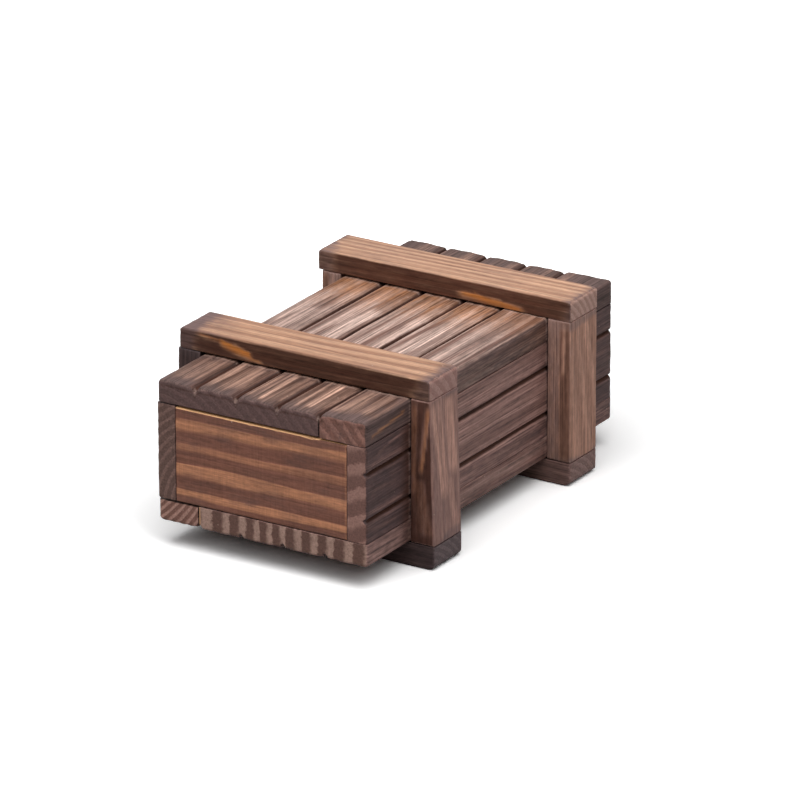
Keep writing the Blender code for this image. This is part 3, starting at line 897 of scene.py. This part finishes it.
# %% Places that several boards share
BODY_END = solid_spans("sliding_lid", "y")[0][1]
NEAR_BAND = solid_spans("near_top_batten", "y")[0]
FAR_BAND = solid_spans("far_top_batten", "y")[0]
LID_EDGE = solid_spans("sliding_lid", "x")[0]
STRIP_EDGE = solid_spans("top_strip", "x")[0]
TOP_SEAM = (LID_EDGE[1] + STRIP_EDGE[0]) / 2.0
PLANK = 9.6
BAND_MARKS = [edge + step for edge in (*NEAR_BAND, *FAR_BAND) for step in (-0.7, -0.35, 0.0, 0.35, 0.7)]
print("bands at", [[round(end, 2) for end in band] for band in (NEAR_BAND, FAR_BAND)])
print("lid and strip meet at", round(TOP_SEAM, 3))


def joint_dust(b):
    """A thin pale line on the boards where a batten's edge meets them."""
    near = [smooth(0.5, 0.15, np.abs((b.y - edge) * outward - 0.15))
            for band in (NEAR_BAND, FAR_BAND) for edge, outward in zip(band, (-1, 1))]
    return np.maximum.reduce(near) * (1.0 - smooth(0.25, 0.6, b.groove))


def groove_masks(b):
    """Charred wood and painted shade in a line, a painted highlight on the arris to its right, and pale wood
    where it breaks out at the end.
    """
    skin = smooth(0.6, 0.2, b.below)
    chip = smooth(0.55, 0.25, np.abs(b.offset)) * smooth(1.1, 0.5, b.y + BODY_END)
    chip *= smooth(1.1, 0.6, b.below)
    char_and_shade = smooth(0.12, 0.45, b.groove) * skin * (1.0 - chip)
    # Painted highlight along the arris to the right of the line.
    shoulder_highlight = smooth(0.30, 0.08, np.abs(b.offset - GROOVE_HALF)) * skin
    return char_and_shade, shoulder_highlight, chip


def between_bands(b):
    """1 between the bands and 0 past them."""
    past_near = smooth(NEAR_BAND[1] - 1.0, NEAR_BAND[1] + 1.0, b.y)
    return past_near * smooth(FAR_BAND[0] + 1.0, FAR_BAND[0] - 1.0, b.y)


# %% Brushed streaks
def pale_streaks(across, along, rows):
    """Streaks with a soft side and, where across is larger, a sharp one.

    A row says where a streak starts and stops, each as a place across and one along, and gives
    its half width and strength. Where two streaks meet, the stronger one shows.
    """
    total = np.zeros(len(across))
    for start, first, stop, last, half, strength in rows:
        share = np.clip((along - first) / (last - first), -0.2, 1.2)
        spots = np.stack([along, np.full(len(along), 9.0 * start), np.zeros(len(along))], axis=1)
        middle = start + (stop - start) * share + 0.3 * half * noise(spots, (6.0, 1.0, 1.0), 0.4)
        place = (across - middle) / half
        body = smooth(-1.6, 0.1, place) * smooth(1.15, 0.65, place)
        body = strength * body * smooth(-0.06, 0.10, share) * smooth(1.06, 0.90, share)
        total = np.maximum(total, body)
    return total


NEAR_STREAKS = ((-20.8, -46.5, -20.0, -33.0, 2.6, 0.32), (-9.0, -46.5, -9.4, -32.0, 2.2, 0.42),
                (-14.2, -47.0, -14.1, -31.5, 0.4, 0.60), (-4.2, -47.0, -4.3, -32.0, 0.6, 0.55),
                (-1.4, -46.5, -1.3, -31.3, 0.65, 0.95), (2.9, -46.0, 2.8, -31.8, 0.8, 0.80),
                (9.3, -45.5, 9.2, -31.3, 0.8, 0.95), (12.5, -45.0, 12.7, -31.8, 0.7, 0.65),
                (15.3, -45.0, 17.0, -31.3, 0.8, 0.60), (20.6, -44.0, 20.9, -31.3, 0.9, 0.50))
# Streaks between the bands: pale brushed wood that also carries painted sheen.
MIDDLE_STREAKS_AND_SHEEN = ((-16.6, -21.0, -16.6, 20.5, 1.2, 0.55), (-21.0, -21.0, -20.0, 4.0, 2.4, 0.50),
                  (-8.4, -21.0, -7.6, 9.0, 2.0, 0.90), (-11.0, -4.0, -10.5, 20.5, 2.0, 0.45),
                  (-1.4, -21.0, -1.1, 20.5, 0.8, 0.70), (3.2, -21.0, 3.6, 20.5, 1.6, 0.85),
                  (9.0, -21.0, 9.4, 20.5, 1.4, 0.85), (12.8, -21.0, 12.5, 20.5, 1.0, 0.62),
                  (17.8, -21.0, 17.6, 20.5, 0.8, 0.50), (21.6, -21.0, 21.3, 20.5, 0.9, 0.48))
print(len(NEAR_STREAKS) + len(MIDDLE_STREAKS_AND_SHEEN), "streaks across the top")


# %% Masks of the top boards
def top_masks(b):
    """Soot at the ends and, with painted shade, by the near band; brushed wood with painted sheen between;
    scorched by the far band.
    """
    stain = noise(b.world, (4.0, 22.0, 5.0), 3.0)
    waver = noise(b.world, (2.4, 50.0, 50.0), 8.0)
    middle = between_bands(b)
    near = b.y < NEAR_BAND[0]
    from_end = b.y + BODY_END
    soot = 0.12 + 0.20 * stain + 0.80 * smooth(5.4, 1.0, from_end + 1.8 * waver)
    soot += 0.22 * (b.x > TOP_SEAM)
    # Before the near band the soot deepens; part of it is painted shade from the batten.
    soot += near * (0.25 * smooth(-35.0, -31.8, b.y + 1.2 * waver) + 0.3 * smooth(-17.0, -22.0, b.x))
    soot += (b.y > FAR_BAND[1]) * (0.55 + 0.3 * waver) - 0.25 * middle
    char_and_shade, shoulder_highlight, chip = groove_masks(b)
    arris = smooth(0.28, 0.08, np.abs(b.below - 1.0)) * b.end
    # Painted shade on the planks just left of each line, lighter between the bands.
    beside = smooth(-2.3, -0.5, b.offset) * (b.offset < 0.0) * b.on_face
    shade = np.maximum(char_and_shade, 0.5 * arris) + (0.65 - 0.30 * middle) * beside * (1.0 - char_and_shade)
    shade += 0.30 * middle * smooth(14.0, 21.0, b.y) * (0.6 + 0.4 * smooth(-12.0, 8.0, b.x))
    streaks = pale_streaks(b.x, b.y, (*NEAR_STREAKS, *MIDDLE_STREAKS_AND_SHEEN)) * b.on_face
    streaks *= smooth(0.5, 4.5, from_end + 1.8 * waver)
    soot = (soot + 0.4 * b.edge) * (1.0 - 0.7 * streaks) + (1.3 - 0.8 * middle) * b.side - 0.9 * b.end
    # The brushed mask lays pale brushed wood with a painted sheen between the bands.
    # The streak mask also holds the painted highlight to the right of each line.
    return {"soot": soot, "shade": shade, "brushed": middle * (1.0 - 0.55 * smooth(8.0, 20.0, b.y)),
            "streak": np.maximum(streaks, np.maximum(0.55 * shoulder_highlight, 0.6 * chip)),
            "scorch": middle * 0.45 * smooth(2.0, 20.0, b.y),
            "dust": np.maximum(0.40 * joint_dust(b), 0.35 * chip)}


# %% Lid
PEG_ACROSS = (-22.7, -20.0)
PEG_ALONG = (-36.75, -33.25)
PEG_MORTISE = box_pocket(PEG_ACROSS, PEG_ALONG, 2.75)
DOWEL_SLOT = box_pocket((-23.5, -21.0), (-13.75, 13.75), 1.75)
TOP_LINES = [TOP_SEAM - PLANK * count for count in (1, 2, 3)]
b = shape_board("sliding_lid", 1.0, "xzy", 1, long_radii=(1.0, 0.35), end_radius=0.6,
                upright_radii=(1.2, 0.15), lines=TOP_LINES, drift=LINE_DRIFT, seams=(TOP_SEAM,),
                inner=(PEG_MORTISE, DOWEL_SLOT), pith=(-30.0, -30.0), lean=(0.03, 0.02), spacing=2.0,
                relief=0.10, marks=BAND_MARKS)
lay_board("sliding_lid", b, flamed_wood("flamed_pine_lid"), "lid", top_masks(b))
print("milled lines of the lid:", [round(place, 2) for place in TOP_LINES])

# %% Top strip
b = shape_board("top_strip", 2.0, "xzy", 1, long_radii=(0.35, 0.7), end_radius=0.6, upright_radii=(0.15, 0.9),
                back_radii=(TOUCHED, 0.45), seams=(TOP_SEAM,), pith=(2.0, -16.0), lean=(0.02, -0.03),
                spacing=2.4, relief=0.1, marks=BAND_MARKS)
masks = top_masks(b)
low_streak = b.side * pale_streaks(b.z, b.y, ((31.8, -46.5, 33.6, -32.5, 0.5, 0.9),))
masks["soot"] *= 1.0 - low_streak
masks["scorch"] = np.maximum(masks["scorch"], low_streak)
strip_wood = flamed_wood("flamed_pine_strip", Scorch_Colour=(0.36, 0.165, 0.085),
                         End_Ground=(0.225, 0.105, 0.080), End_Latewood=(0.350, 0.172, 0.135))
lay_board("top_strip", b, strip_wood, "case", masks)

# %% [markdown]
# ## Floor board and key strip
#
# Seen from the near end, the floor board's rings stand upright as light and dark bars, since
# it was sawn along a radius of the trunk, and a thin line of bare wood shows at its seam. The
# key strip beside it came from another board. It slides out, and the pocket in its top holds
# the ramp that lifts the lock peg.

# %% Masks of walls and floor
def side_masks(b, soot_level):
    """Slate soot, deepest past the bands, with painted shade by the uprights and in the lines."""
    stain = noise(b.world, (5.0, 18.0, 3.5), 5.0)
    middle = between_bands(b)
    near = b.y < NEAR_BAND[0]
    soot = soot_level * (1.0 - 0.8 * middle) + (0.25 + 0.25 * middle) * stain
    char_and_shade = groove_masks(b)[0]
    # Painted shade in the corner before the near upright and, between the bands, before the far one.
    corner = 0.8 * near * smooth(-36.0, -31.5, b.y)
    corner += 0.35 * middle * smooth(FAR_BAND[0] - 4.0, FAR_BAND[0], b.y)
    # Charred wood and painted shade on one flank of each line, painted shade in the corners.
    shade = np.maximum(char_and_shade * smooth(-0.62, -0.35, b.offset), corner * (1.0 - b.end))
    # A painted glint on the other side of each line.
    glint = smooth(0.30, 0.10, np.abs(b.offset + GROOVE_HALF)) * smooth(0.6, 0.2, b.below)
    return {"soot": soot - 0.9 * b.end, "shade": shade, "brushed": 0.5 * middle,
            "streak": 0.40 * glint, "dust": 0.25 * joint_dust(b)}


# %% Floor board
FLOOR_EDGE = solid_spans("floor_board", "x")[0]
KEY_EDGE = solid_spans("key_strip", "x")[0]
FLOOR_SEAM = (FLOOR_EDGE[0] + KEY_EDGE[1]) / 2.0
FLOOR_PLANK = 9.8
FLOOR_LINES = [FLOOR_SEAM + FLOOR_PLANK * count for count in (1, 2, 3)]
DARK_RINGS = (-26.0, -21.0, -16.5, -9.9, -6.0, -2.4, 0.5, 3.5, 6.8, 10.8, 14.6, 18.4, 22.9, 27.0)
PITH_AWAY = 95.0
b = shape_board("floor_board", 3.0, "xzy", -1, step=0.36, long_step=0.95, long_radii=(0.2, 0.7),
                end_radius=0.8, upright_radii=(0.15, 0.9), lines=FLOOR_LINES, seams=(FLOOR_SEAM,),
                pith=(-PITH_AWAY, 2.5), lean=(0.02, 0.0), relief=0.08,
                spacing=[PITH_AWAY + place for place in DARK_RINGS], mouth=0.4)
masks = side_masks(b, 0.45)
masks["bare"] = 0.8 * b.end * smooth(0.35, 0.1, b.x - FLOOR_EDGE[0])
floor_wood = flamed_wood("flamed_pine_floor", Ground=(0.30, 0.165, 0.145), Latewood=(0.50, 0.30, 0.26),
                         End_Ground=(0.140, 0.074, 0.058), End_Latewood=(0.400, 0.252, 0.203))
lay_board("floor_board", b, floor_wood, "case", masks)

# %% Key strip
RAMP_DEPTH = 3.25
PEG_RAMP = (box_pocket(PEG_ACROSS, PEG_ALONG, RAMP_DEPTH)[0],
            [(PEG_ALONG[0] - WALL_LEAN, 0.0), (PEG_ALONG[0] + WALL_LEAN, RAMP_DEPTH),
             (-35.5, RAMP_DEPTH), (-29.0, 0.0)])
b = shape_board("key_strip", 4.0, "xzy", -1, long_step=0.95, long_radii=(0.8, 0.2), end_radius=0.8,
                upright_radii=(1.2, 0.15), seams=(FLOOR_SEAM,), inner=(PEG_RAMP,), pith=(-45.0, -22.0),
                lean=(0.02, 0.01), spacing=1.3, relief=0.08)
key_wood = flamed_wood("flamed_pine_key", End_Ground=(0.21, 0.105, 0.080), End_Latewood=(0.43, 0.24, 0.195))
lay_board("key_strip", b, key_wood, "key", side_masks(b, 0.45))

# %% [markdown]
# ## Long walls
#
# The walls stand on the floor. Two milled lines divide the right wall into planks, and the left
# wall is plain. Both were brushed less than the top, so they stay slate brown with fine
# streaks. Hidden in the left wall is the trench in which the lock peg rises.

# %% Walls
WALL_LINES = (14.8, 24.6)
SEAM_COVER = 0.08
WALL_RINGS = {"Ground": (0.110, 0.060, 0.052), "Latewood": (0.220, 0.125, 0.110)}
right_wood = flamed_wood("flamed_pine_wall", Brushed_Ground=(0.350, 0.190, 0.160),
                         Pale=(0.680, 0.400, 0.340), Soot_Colour=(0.082, 0.052, 0.052),
                         Shade_Colour=(0.055, 0.022, 0.014), End_Ground=(0.185, 0.096, 0.079),
                         End_Latewood=(0.340, 0.188, 0.155), Streak_Strength=0.40,
                         Fibre_Strength=0.60, **WALL_RINGS)
left_wood = flamed_wood("flamed_pine_left_wall", End_Ground=(0.135, 0.078, 0.064),
                        End_Latewood=(0.205, 0.120, 0.100), Late_Share=0.40, Fuzz_Strength=0.7,
                        **WALL_RINGS)
SIDE_STREAKS = ((19.7, -20.0, 19.6, 20.0, 0.6, 0.85), (13.9, -20.0, 13.9, 21.0, 0.5, 0.50),
                (27.6, -20.0, 27.2, 19.0, 1.5, 0.45), (22.6, -16.0, 22.2, 20.0, 0.9, 0.40),
                (25.7, -20.0, 25.7, 20.0, 0.4, 0.40), (11.6, -20.0, 11.8, 14.0, 0.9, 0.30),
                (26.2, -47.0, 26.0, -33.0, 0.5, 0.85), (16.3, -47.0, 16.1, -33.0, 0.5, 0.80),
                (28.0, -43.0, 29.4, -32.0, 0.45, 0.85), (23.8, -40.0, 23.5, -33.0, 0.35, 0.60),
                (12.5, -46.0, 12.3, -36.0, 0.5, 0.35), (20.6, -46.5, 20.3, -36.0, 0.6, 0.30))
PEG_TRENCH = box_pocket((0.0, 40.0), PEG_ALONG, 2.7)
b = shape_board("left_wall", 5.0, "zxy", -1, end_radius=0.9, long_radii=(0.8, 0.3), inner=(PEG_TRENCH,),
                pith=(8.0, -12.0), lean=(0.02, 0.03), spacing=1.7, relief=0.06, marks=BAND_MARKS)
lay_board("left_wall", b, left_wood, "case", side_masks(b, 0.6))
b = shape_board("right_wall", 6.0, "zxy", 1, end_radius=0.9, long_radii=(0.12, 0.12), lines=WALL_LINES,
                pith=(-20.0, 20.0), lean=(0.02, 0.03), spacing=5.0, relief=0.06, marks=BAND_MARKS,
                more=((SEAM_COVER, SEAM_COVER), (0.0, 0.0)), mouth=-2.6)
masks = side_masks(b, 0.6)
masks["streak"] = np.maximum(masks["streak"], pale_streaks(b.z, b.y, SIDE_STREAKS) * b.on_face)
masks["soot"] += 0.15 * (b.y < NEAR_BAND[0]) * (1.0 - b.end)
masks["soot"] *= 1.0 - 0.85 * masks["streak"]
lay_board("right_wall", b, right_wood, "case", masks)

# %% [markdown]
# ## Panels
#
# The drawer's front and the fixed back panel were sawn so that broad orange bands cross them.
# Fine upright saw marks still show under the flame's brown. The drawer front's top arris was
# planed after flaming, so a thin line of bare wood shines under the lid.

# %% Drawer front and back panel
PANEL_RINGS = (-30.0, 4.0, 10.0, 13.7, 18.2, 22.7, 28.3, 34.0)
PITH_BELOW = 60.0
STAIN_CELL = (6.0, 6.0, 3.0)
panel_wood = flamed_wood("flamed_pine_panel", Ground=(0.220, 0.093, 0.064), Latewood=(0.530, 0.235, 0.130),
                         Late_Share=0.42, Late_Strength=1.3, Streak_Strength=0.12, Saw_Strength=0.25,
                         Fibre_Strength=0.28)
b = shape_board("drawer_front", 7.0, "zyx", -1, long_step=0.5, long_radii=(0.2, 0.45),
                end_radius=0.15, upright_radii=(0.15, 0.15), pith=(-PITH_BELOW, 5.0),
                spacing=[PITH_BELOW + z for z in PANEL_RINGS], more=((0.10, 0.0), (0.20, 0.20)))
covered = smooth(TOP_SEAM - 0.4, TOP_SEAM + 0.6, b.x)
top_bevel = smooth(0.40 + 0.50 * covered, 0.70 + 0.28 * covered, b.nu)
right_edge = smooth(0.45, 0.15, b.x.max() - b.x) * smooth(-46.0, -47.0, b.y)
masks = {"soot": 0.10 + 0.3 * noise(b.world, STAIN_CELL, 2.0), "bare": top_bevel, "streak": 0.5 * right_edge}
lay_board("drawer_front", b, panel_wood, "drawer", masks)
b = shape_board("back_panel", 8.0, "zyx", 1, long_step=0.5, long_radii=(0.35, 0.35), end_radius=0.35,
                pith=(-70.0, 10.0), spacing=4.2)
masks = {"soot": 0.25 + 0.3 * noise(b.world, STAIN_CELL, 4.0)}
lay_board("back_panel", b, panel_wood, "case", masks)

# %% [markdown]
# ## Battens
#
# Eight battens make the two bands. Their tops were brushed to tan between fine dark lines,
# their sides were left almost black, and heat left orange patches near the glued joints. The
# near band is the rougher one: its top batten is a little short, and its right upright tapers
# to meet it.

# %% Batten masks
def batten_masks(b, reach, seed, side_shade):
    """Tips of a batten are sooty, as far as reach, and its sides are dark."""
    span = np.ptp(b.w) / 2.0
    tip = span - np.abs(b.w - b.w.min() - span)
    stain = noise(b.world, (8.0, 6.0, 6.0), seed)
    tip += 2.0 * stain
    soot = 0.85 * smooth(reach, reach * 0.2, tip) + 0.30 * b.edge + 0.15 * stain
    shade = side_shade * b.side * (1.0 - b.edge) * (1.0 - 0.4 * smooth(reach, reach * 0.3, tip))
    return {"soot": soot - 0.9 * b.end, "shade": shade}


BATTEN_END = {"End_Ground": (0.34, 0.185, 0.158), "End_Latewood": (0.42, 0.245, 0.210)}
BATTEN_TOP = {"Scorch_Colour": (0.56, 0.205, 0.05), "Late_Share": 0.6, "Late_Strength": 0.9,
              "Fibre_Strength": 0.40, "Fuzz_Strength": 0.22}


def batten_wood(place, ground, latewood, soot, shade, **values):
    """Flamed wood for the battens at one place of a band."""
    return flamed_wood("flamed_pine_" + place, Ground=ground, Latewood=latewood,
                       Soot_Colour=soot, Shade_Colour=shade, **values)


near_top_wood = batten_wood("near_batten", (0.33, 0.170, 0.105), (0.57, 0.330, 0.210),
                            (0.165, 0.105, 0.098), (0.064, 0.025, 0.016), **BATTEN_TOP, **BATTEN_END)
far_top_wood = batten_wood("far_batten", (0.37, 0.195, 0.125), (0.63, 0.375, 0.245),
                           (0.200, 0.130, 0.118), (0.088, 0.034, 0.021),
                           End_Ground=(0.40, 0.235, 0.190), End_Latewood=(0.52, 0.320, 0.265), **BATTEN_TOP)
near_wood = batten_wood("near_upright", (0.25, 0.140, 0.120), (0.54, 0.300, 0.235),
                        (0.220, 0.140, 0.130), (0.075, 0.030, 0.021), Scorch_Colour=(0.500, 0.215, 0.110),
                        Late_Strength=0.2, Fibre_Strength=0.30, **BATTEN_END)
far_wood = batten_wood("far_upright", (0.40, 0.210, 0.150), (0.66, 0.365, 0.265),
                       (0.300, 0.190, 0.165), (0.190, 0.095, 0.066), Fibre_Strength=0.5, **BATTEN_END)
near_foot_wood = batten_wood("near_foot", (0.068, 0.042, 0.039), (0.12, 0.077, 0.072),
                             (0.080, 0.055, 0.056), (0.060, 0.036, 0.034),
                             End_Ground=(0.105, 0.073, 0.074), End_Latewood=(0.140, 0.098, 0.100))
far_foot_wood = batten_wood("far_foot", (0.20, 0.116, 0.100), (0.30, 0.180, 0.155),
                            (0.200, 0.120, 0.108), (0.175, 0.100, 0.083),
                            End_Ground=(0.22, 0.132, 0.116), End_Latewood=(0.29, 0.178, 0.158))

# %% Top battens and feet
HEAT = {"near": ((39.1, -25.0, 38.3, -15.5, 0.45, 0.55), (38.5, -20.0, 36.9, -12.5, 0.95, 1.0),
                 (37.1, -17.0, 36.1, -10.0, 0.40, 0.75)),
        "far": ((36.7, 3.5, 35.9, 19.0, 0.85, 0.9), (37.4, 7.0, 36.9, 14.0, 0.35, 0.6))}
SHORT = {"near": (-0.5, -1.0), "far": (0.0, 0.0)}
TOP_WOOD = {"near": near_top_wood, "far": far_top_wood}
FOOT_WOOD = {"near": near_foot_wood, "far": far_foot_wood}
BANDS = {"near": NEAR_BAND[0], "far": FAR_BAND[0]}
for number, (band, low) in enumerate(BANDS.items()):
    seed = 10.0 + 4.0 * number
    b = shape_board(band + "_top_batten", seed, "yzx", 1, step=0.3, long_step=0.6, long_radii=(0.5, 0.5),
                    end_radius=0.9, upright_radii=(0.4, 0.4), pith=(low - 9.0, -9.0), lean=(0.02, 0.01),
                    spacing=(2.3, 1.4)[number], relief=0.04, more=((0.0, 0.0), SHORT[band]))
    masks = batten_masks(b, 4.0, seed, 0.95)
    masks["scorch"] = pale_streaks(b.z, b.x, HEAT[band]) * smooth(-0.5, -0.8, b.nu)
    if band == "near":
        masks["soot"] += 0.40 * smooth(-14.0, -26.0, b.x) * (1.0 - b.end)
    for mask in ("soot", "shade"):
        masks[mask] *= 1.0 - masks["scorch"]
    lay_board(band + "_top_batten", b, TOP_WOOD[band], "case", masks)
    b = shape_board(band + "_foot", seed + 1.0, "yzx", -1, step=0.36, long_step=0.8, long_radii=(0.5, 0.5),
                    end_radius=1.6, upright_radii=(0.5, 0.5), pith=(low - 5.0, 14.0), lean=(0.01, 0.01),
                    spacing=1.6, relief=0.04)
    lay_board(band + "_foot", b, FOOT_WOOD[band], "case", batten_masks(b, 8.0, seed, 0.8))

# %% Uprights
SIDE_BANDS = ((-30.4, 35.0, -27.0, 14.0, 0.9, 0.90), (-28.4, 35.0, -25.4, 14.0, 1.1, 0.70),
              (-24.6, 35.5, -22.9, 18.0, 1.8, 0.95), (-24.6, 18.0, -22.4, 5.5, 1.3, 0.50))
FRONT_GLOWS = ((25.2, 35.0, 25.3, 15.0, 0.8, 0.60), (28.6, 34.5, 26.8, 20.0, 0.65, 0.85),
               (25.4, 19.0, 28.2, 7.0, 2.0, 0.42))
FAR_GLINTS = ((25.6, 6.0, 25.9, 30.0, 1.2, 0.6), (26.4, 10.0, 26.3, 26.0, 0.3, 0.9),
              (28.3, 24.0, 28.3, 35.0, 0.35, 0.7))
TAPER = {"near_right_upright": 0.95}
WORN_TO = 27.5
UPRIGHT_WOOD = {"near_right_upright": near_wood, "near_left_upright": near_foot_wood}
for band, low in BANDS.items():
    for side, facing in (("left", -1), ("right", 1)):
        name = band + "_" + side + "_upright"
        near = band == "near"
        seed = (12.5 if near else 16.5) + 0.5 * facing
        b = shape_board(name, seed, "yxz", facing, step=0.3, long_step=0.5, long_radii=(0.5, 0.5),
                        end_radius=0.22, upright_radii=(0.4, 0.4), pith=(low - 3.0, -6.0), lean=(-0.21, 0.03),
                        spacing=2.9, relief=0.04, taper=TAPER.get(name, 0.0))
        masks = batten_masks(b, 1.5, seed, 0.95)
        front = smooth(-0.5, -0.9, b.nu)
        if near:
            masks["scorch"] = front * pale_streaks(b.x, b.z, FRONT_GLOWS)
            masks["streak"] = b.on_face * pale_streaks(b.y, b.z, SIDE_BANDS)
            masks["shade"] *= 1.0 - np.maximum(masks["scorch"], masks["streak"])
        else:
            worn_half = front * smooth(WORN_TO + 0.4, WORN_TO - 0.4, np.abs(b.x))
            masks["soot"] = np.maximum(masks["soot"], 0.75 * worn_half)
            masks["streak"] = front * pale_streaks(b.x, b.z, FAR_GLINTS)
            masks["shade"] *= (1.0 - 0.8 * worn_half) * (1.0 - masks["streak"])
        lay_board(name, b, UPRIGHT_WOOD.get(name, far_wood), "case", masks)

# %% [markdown]
# ## Drawer and lock in raw pine
#
# Inside, the wood was never flamed. The drawer's sides, back and floor get the same growth
# rings in pale colours. The peg and the dowel are small and plain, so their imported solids
# stay and only take the finish, which for them reads Object coordinates.

# %% Raw pine material
EARLY_PINE = (0.68, 0.47, 0.28, 1.0)
LATE_PINE = (0.50, 0.28, 0.12, 1.0)
PLANED_BUMP = 0.05 * MM
RINGS_PER_MM = 0.7


def raw_pine(name, own_attributes):
    """Planed pine: pale early wood, honey latewood and faint fibres."""
    material = bpy.data.materials.new(name)
    material.use_nodes = True
    tree = material.node_tree
    tree.nodes.clear()
    if own_attributes:
        board, ring = attribute(tree, "board", "Vector"), attribute(tree, "ring")
    else:
        place = put(tree, "TexCoord").outputs["Object"]
        board = put(tree, "VectorMath", {0: place, 1: (1.0 / MM,) * 3}, operation="MULTIPLY").outputs[0]
        ring = times(tree, put(tree, "SeparateXYZ", {0: board}).outputs[0], RINGS_PER_MM)
    rings = use(tree, "growth_rings", Ring=ring, Board=board, Late_Share=0.35)
    fibres = use(tree, "wood_fibres", Board=board)
    late = times(tree, rings["Latewood"], 0.75)
    colour = mix_colours(tree, late, EARLY_PINE, LATE_PINE)
    tone = line(tree, less(tree, fibres["Fine"], 0.5), 0.5, 1.0)
    colour = tint(tree, colour, tone)
    bump = put(tree, "Bump", {"Height": fibres["Fine"], "Distance": PLANED_BUMP, "Strength": 0.6})
    rough = line(tree, late, -0.1, 0.62)
    shader = put(tree, "BsdfPrincipled",
                 {"Base Color": colour, "Roughness": rough, "Normal": bump.outputs[0]})
    put(tree, "OutputMaterial", {"Surface": shader.outputs[0]})
    return material


drawer_wood = raw_pine("raw_pine_drawer", True)
lock_wood = raw_pine("raw_pine_lock", False)
for name in ("lock_peg", "lid_stop_dowel"):
    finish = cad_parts[name].data.materials
    finish.clear()
    finish.append(lock_wood)

# %% Drawer sides, back and floor
DRAWER_TRAVEL = 62.0
NIB_LOW, NIB_TOP, NIB_LIFTED = 16.25, 19.75, 22.75
NIB_DEPTH = 1.75
NIB_OPEN = (PEG_ALONG[0] + DRAWER_TRAVEL, PEG_ALONG[1] + DRAWER_TRAVEL)
NIB_CHANNEL = (box_pocket((NIB_LOW, NIB_TOP), (PEG_ALONG[0], NIB_OPEN[1]), NIB_DEPTH),
               box_pocket((NIB_LOW, NIB_LIFTED), PEG_ALONG, NIB_DEPTH),
               box_pocket((NIB_LOW, NIB_LIFTED), NIB_OPEN, NIB_DEPTH))
DRAWER = {"drawer_left_side": ("zxy", -1, NIB_CHANNEL), "drawer_right_side": ("zxy", 1, ()),
          "drawer_back": ("zyx", 1, ()), "drawer_floor": ("xzy", -1, ())}
for number, (name, (axes, facing, outer)) in enumerate(DRAWER.items()):
    b = shape_board(name, 20.0 + number, axes, facing, step=0.7, long_step=1.6, long_radii=(0.3, 0.3),
                    end_radius=0.2, outer=outer, pith=(-30.0, -8.0), lean=(0.02, 0.05), spacing=2.4,
                    relief=0.0, worn=0.02)
    lay_board(name, b, drawer_wood, "drawer", {})

# %% [markdown]
# ## Counts
#
# The last cell counts the dressed pieces and their triangles.

# %% Count the pieces and triangles
print("pieces:", len(made_faces), "triangles:", 2 * sum(made_faces.values()))
